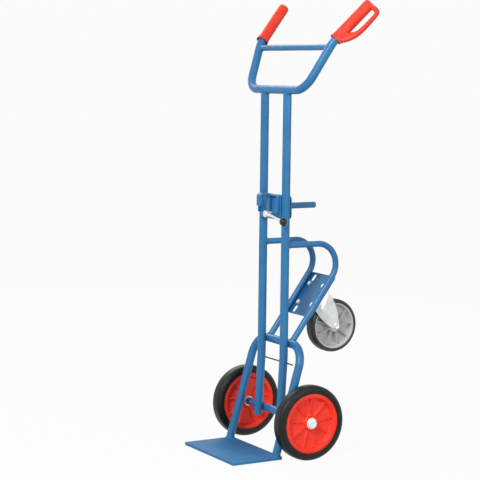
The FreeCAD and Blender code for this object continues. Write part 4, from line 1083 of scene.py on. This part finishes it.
CLAMP_FLATS, CLAMP_NUT_HEIGHT, CLAMP_BORE = 19.0, 8.0, 6.08
nut_faces = (REAR_FACES[1], REAR_FACES[1] + CLAMP_NUT_HEIGHT)
clamp_nut = nut(CLAMP_FLATS, *nut_faces, CLAMP_BORE, LEVER_PIVOT * (0, 0, 1), ALONG_Y, ALONG_X)
dress("clamp_lock_nut", [clamp_nut], "clamp_nut")

# %% [markdown]
# ## Floor, light and camera
# The floor is a plain pale plane that still takes the shadow. The light comes from three soft
# panels, a strong one high on the camera's left, a weaker one on its right and one behind the
# trolley, and from a pale surround. The camera stands between five and six metres away and
# 1.35 m up, with a long lens, so the uprights stay nearly parallel.

# %% Stage
FLOOR_REACH = 30.0
floor_mesh = bpy.data.meshes.new("floor")
floor_corners = [(x * FLOOR_REACH, y * FLOOR_REACH, 0) for x, y in ((-1, -1), (1, -1), (1, 1), (-1, 1))]
floor_mesh.from_pydata(floor_corners, [], [(0, 1, 2, 3)])
floor = new_object("floor", floor_mesh)


def seen_directly(tree):
    """1 for what the camera sees, straight or in a mirror or through glass, else 0"""
    ray = add(tree, "ShaderNodeLightPath").outputs
    seen = ray["Is Camera Ray"]
    for kind in ("Is Glossy Ray", "Is Transmission Ray"):
        seen = add(tree, "ShaderNodeMath", {0: seen, 1: ray[kind]}, operation="MAXIMUM").outputs[0]
    return seen


pale_floor = bpy.data.materials.new("floor_pale")
pale_floor.use_nodes = True
tree = pale_floor.node_tree
tree.nodes.clear()
matt = add(tree, "ShaderNodeBsdfDiffuse", {"Color": linear("#CFCFCF")})
white = add(tree, "ShaderNodeEmission", {"Color": linear("#FFFFFF"), "Strength": 1.0})
share = add(tree, "ShaderNodeMath", {0: seen_directly(tree), 1: 0.95}, operation="MULTIPLY")
mixed = add(
    tree, "ShaderNodeMixShader",
    {"Fac": share.outputs[0], 1: matt.outputs[0], 2: white.outputs[0]},
)
add(tree, "ShaderNodeOutputMaterial", {"Surface": mixed.outputs[0]})
floor.data.materials.append(pale_floor)

world = bpy.data.worlds.new("pale_surround")
bpy.context.scene.world = world
world.use_nodes = True
tree = world.node_tree
tree.nodes.clear()
surround = add(tree, "ShaderNodeBackground", {"Color": linear("#F4F6FA"), "Strength": 0.27})
backdrop = add(tree, "ShaderNodeBackground", {"Color": linear("#FBFBFB"), "Strength": 1.0})
mixed = add(
    tree, "ShaderNodeMixShader",
    {"Fac": seen_directly(tree), 1: surround.outputs[0], 2: backdrop.outputs[0]},
)
add(tree, "ShaderNodeOutputWorld", {"Surface": mixed.outputs[0]})


def soft_panel(name, watts, size, place, aim):
    """a square lamp at place that faces aim"""
    lamp = bpy.data.lights.new(name, "AREA")
    lamp.energy = watts
    lamp.size = size
    holder = new_object(name, lamp)
    holder.location = place
    way = Vector(aim) - Vector(place)
    holder.rotation_euler = way.to_track_quat("-Z", "Y").to_euler()


MIDDLE = (0.0, 0.2, 0.8)
soft_panel("key_panel", 235, 1.5, (2.4, -3.8, 3.8), MIDDLE)
soft_panel("fill_panel", 70, 2.2, (4.8, 1.4, 2.0), MIDDLE)
soft_panel("back_panel", 45, 2.2, (-3.2, 0.8, 3.2), MIDDLE)
print("stage: a floor of", 2 * FLOOR_REACH, "m, three soft panels and", world.name)

# %% Camera
camera = bpy.data.cameras.new("camera")
camera.sensor_width = 36.0
camera.lens = 119.963
eye = new_object("camera", camera)
eye.location = (4.8478, -2.7797, 1.3496)
eye.rotation_euler = (1.465661, -0.011822, 1.048371)
bpy.context.scene.camera = eye
bpy.context.scene.view_settings.view_transform = "Standard"
print("camera at", tuple(eye.location), "with a lens of", camera.lens, "mm")
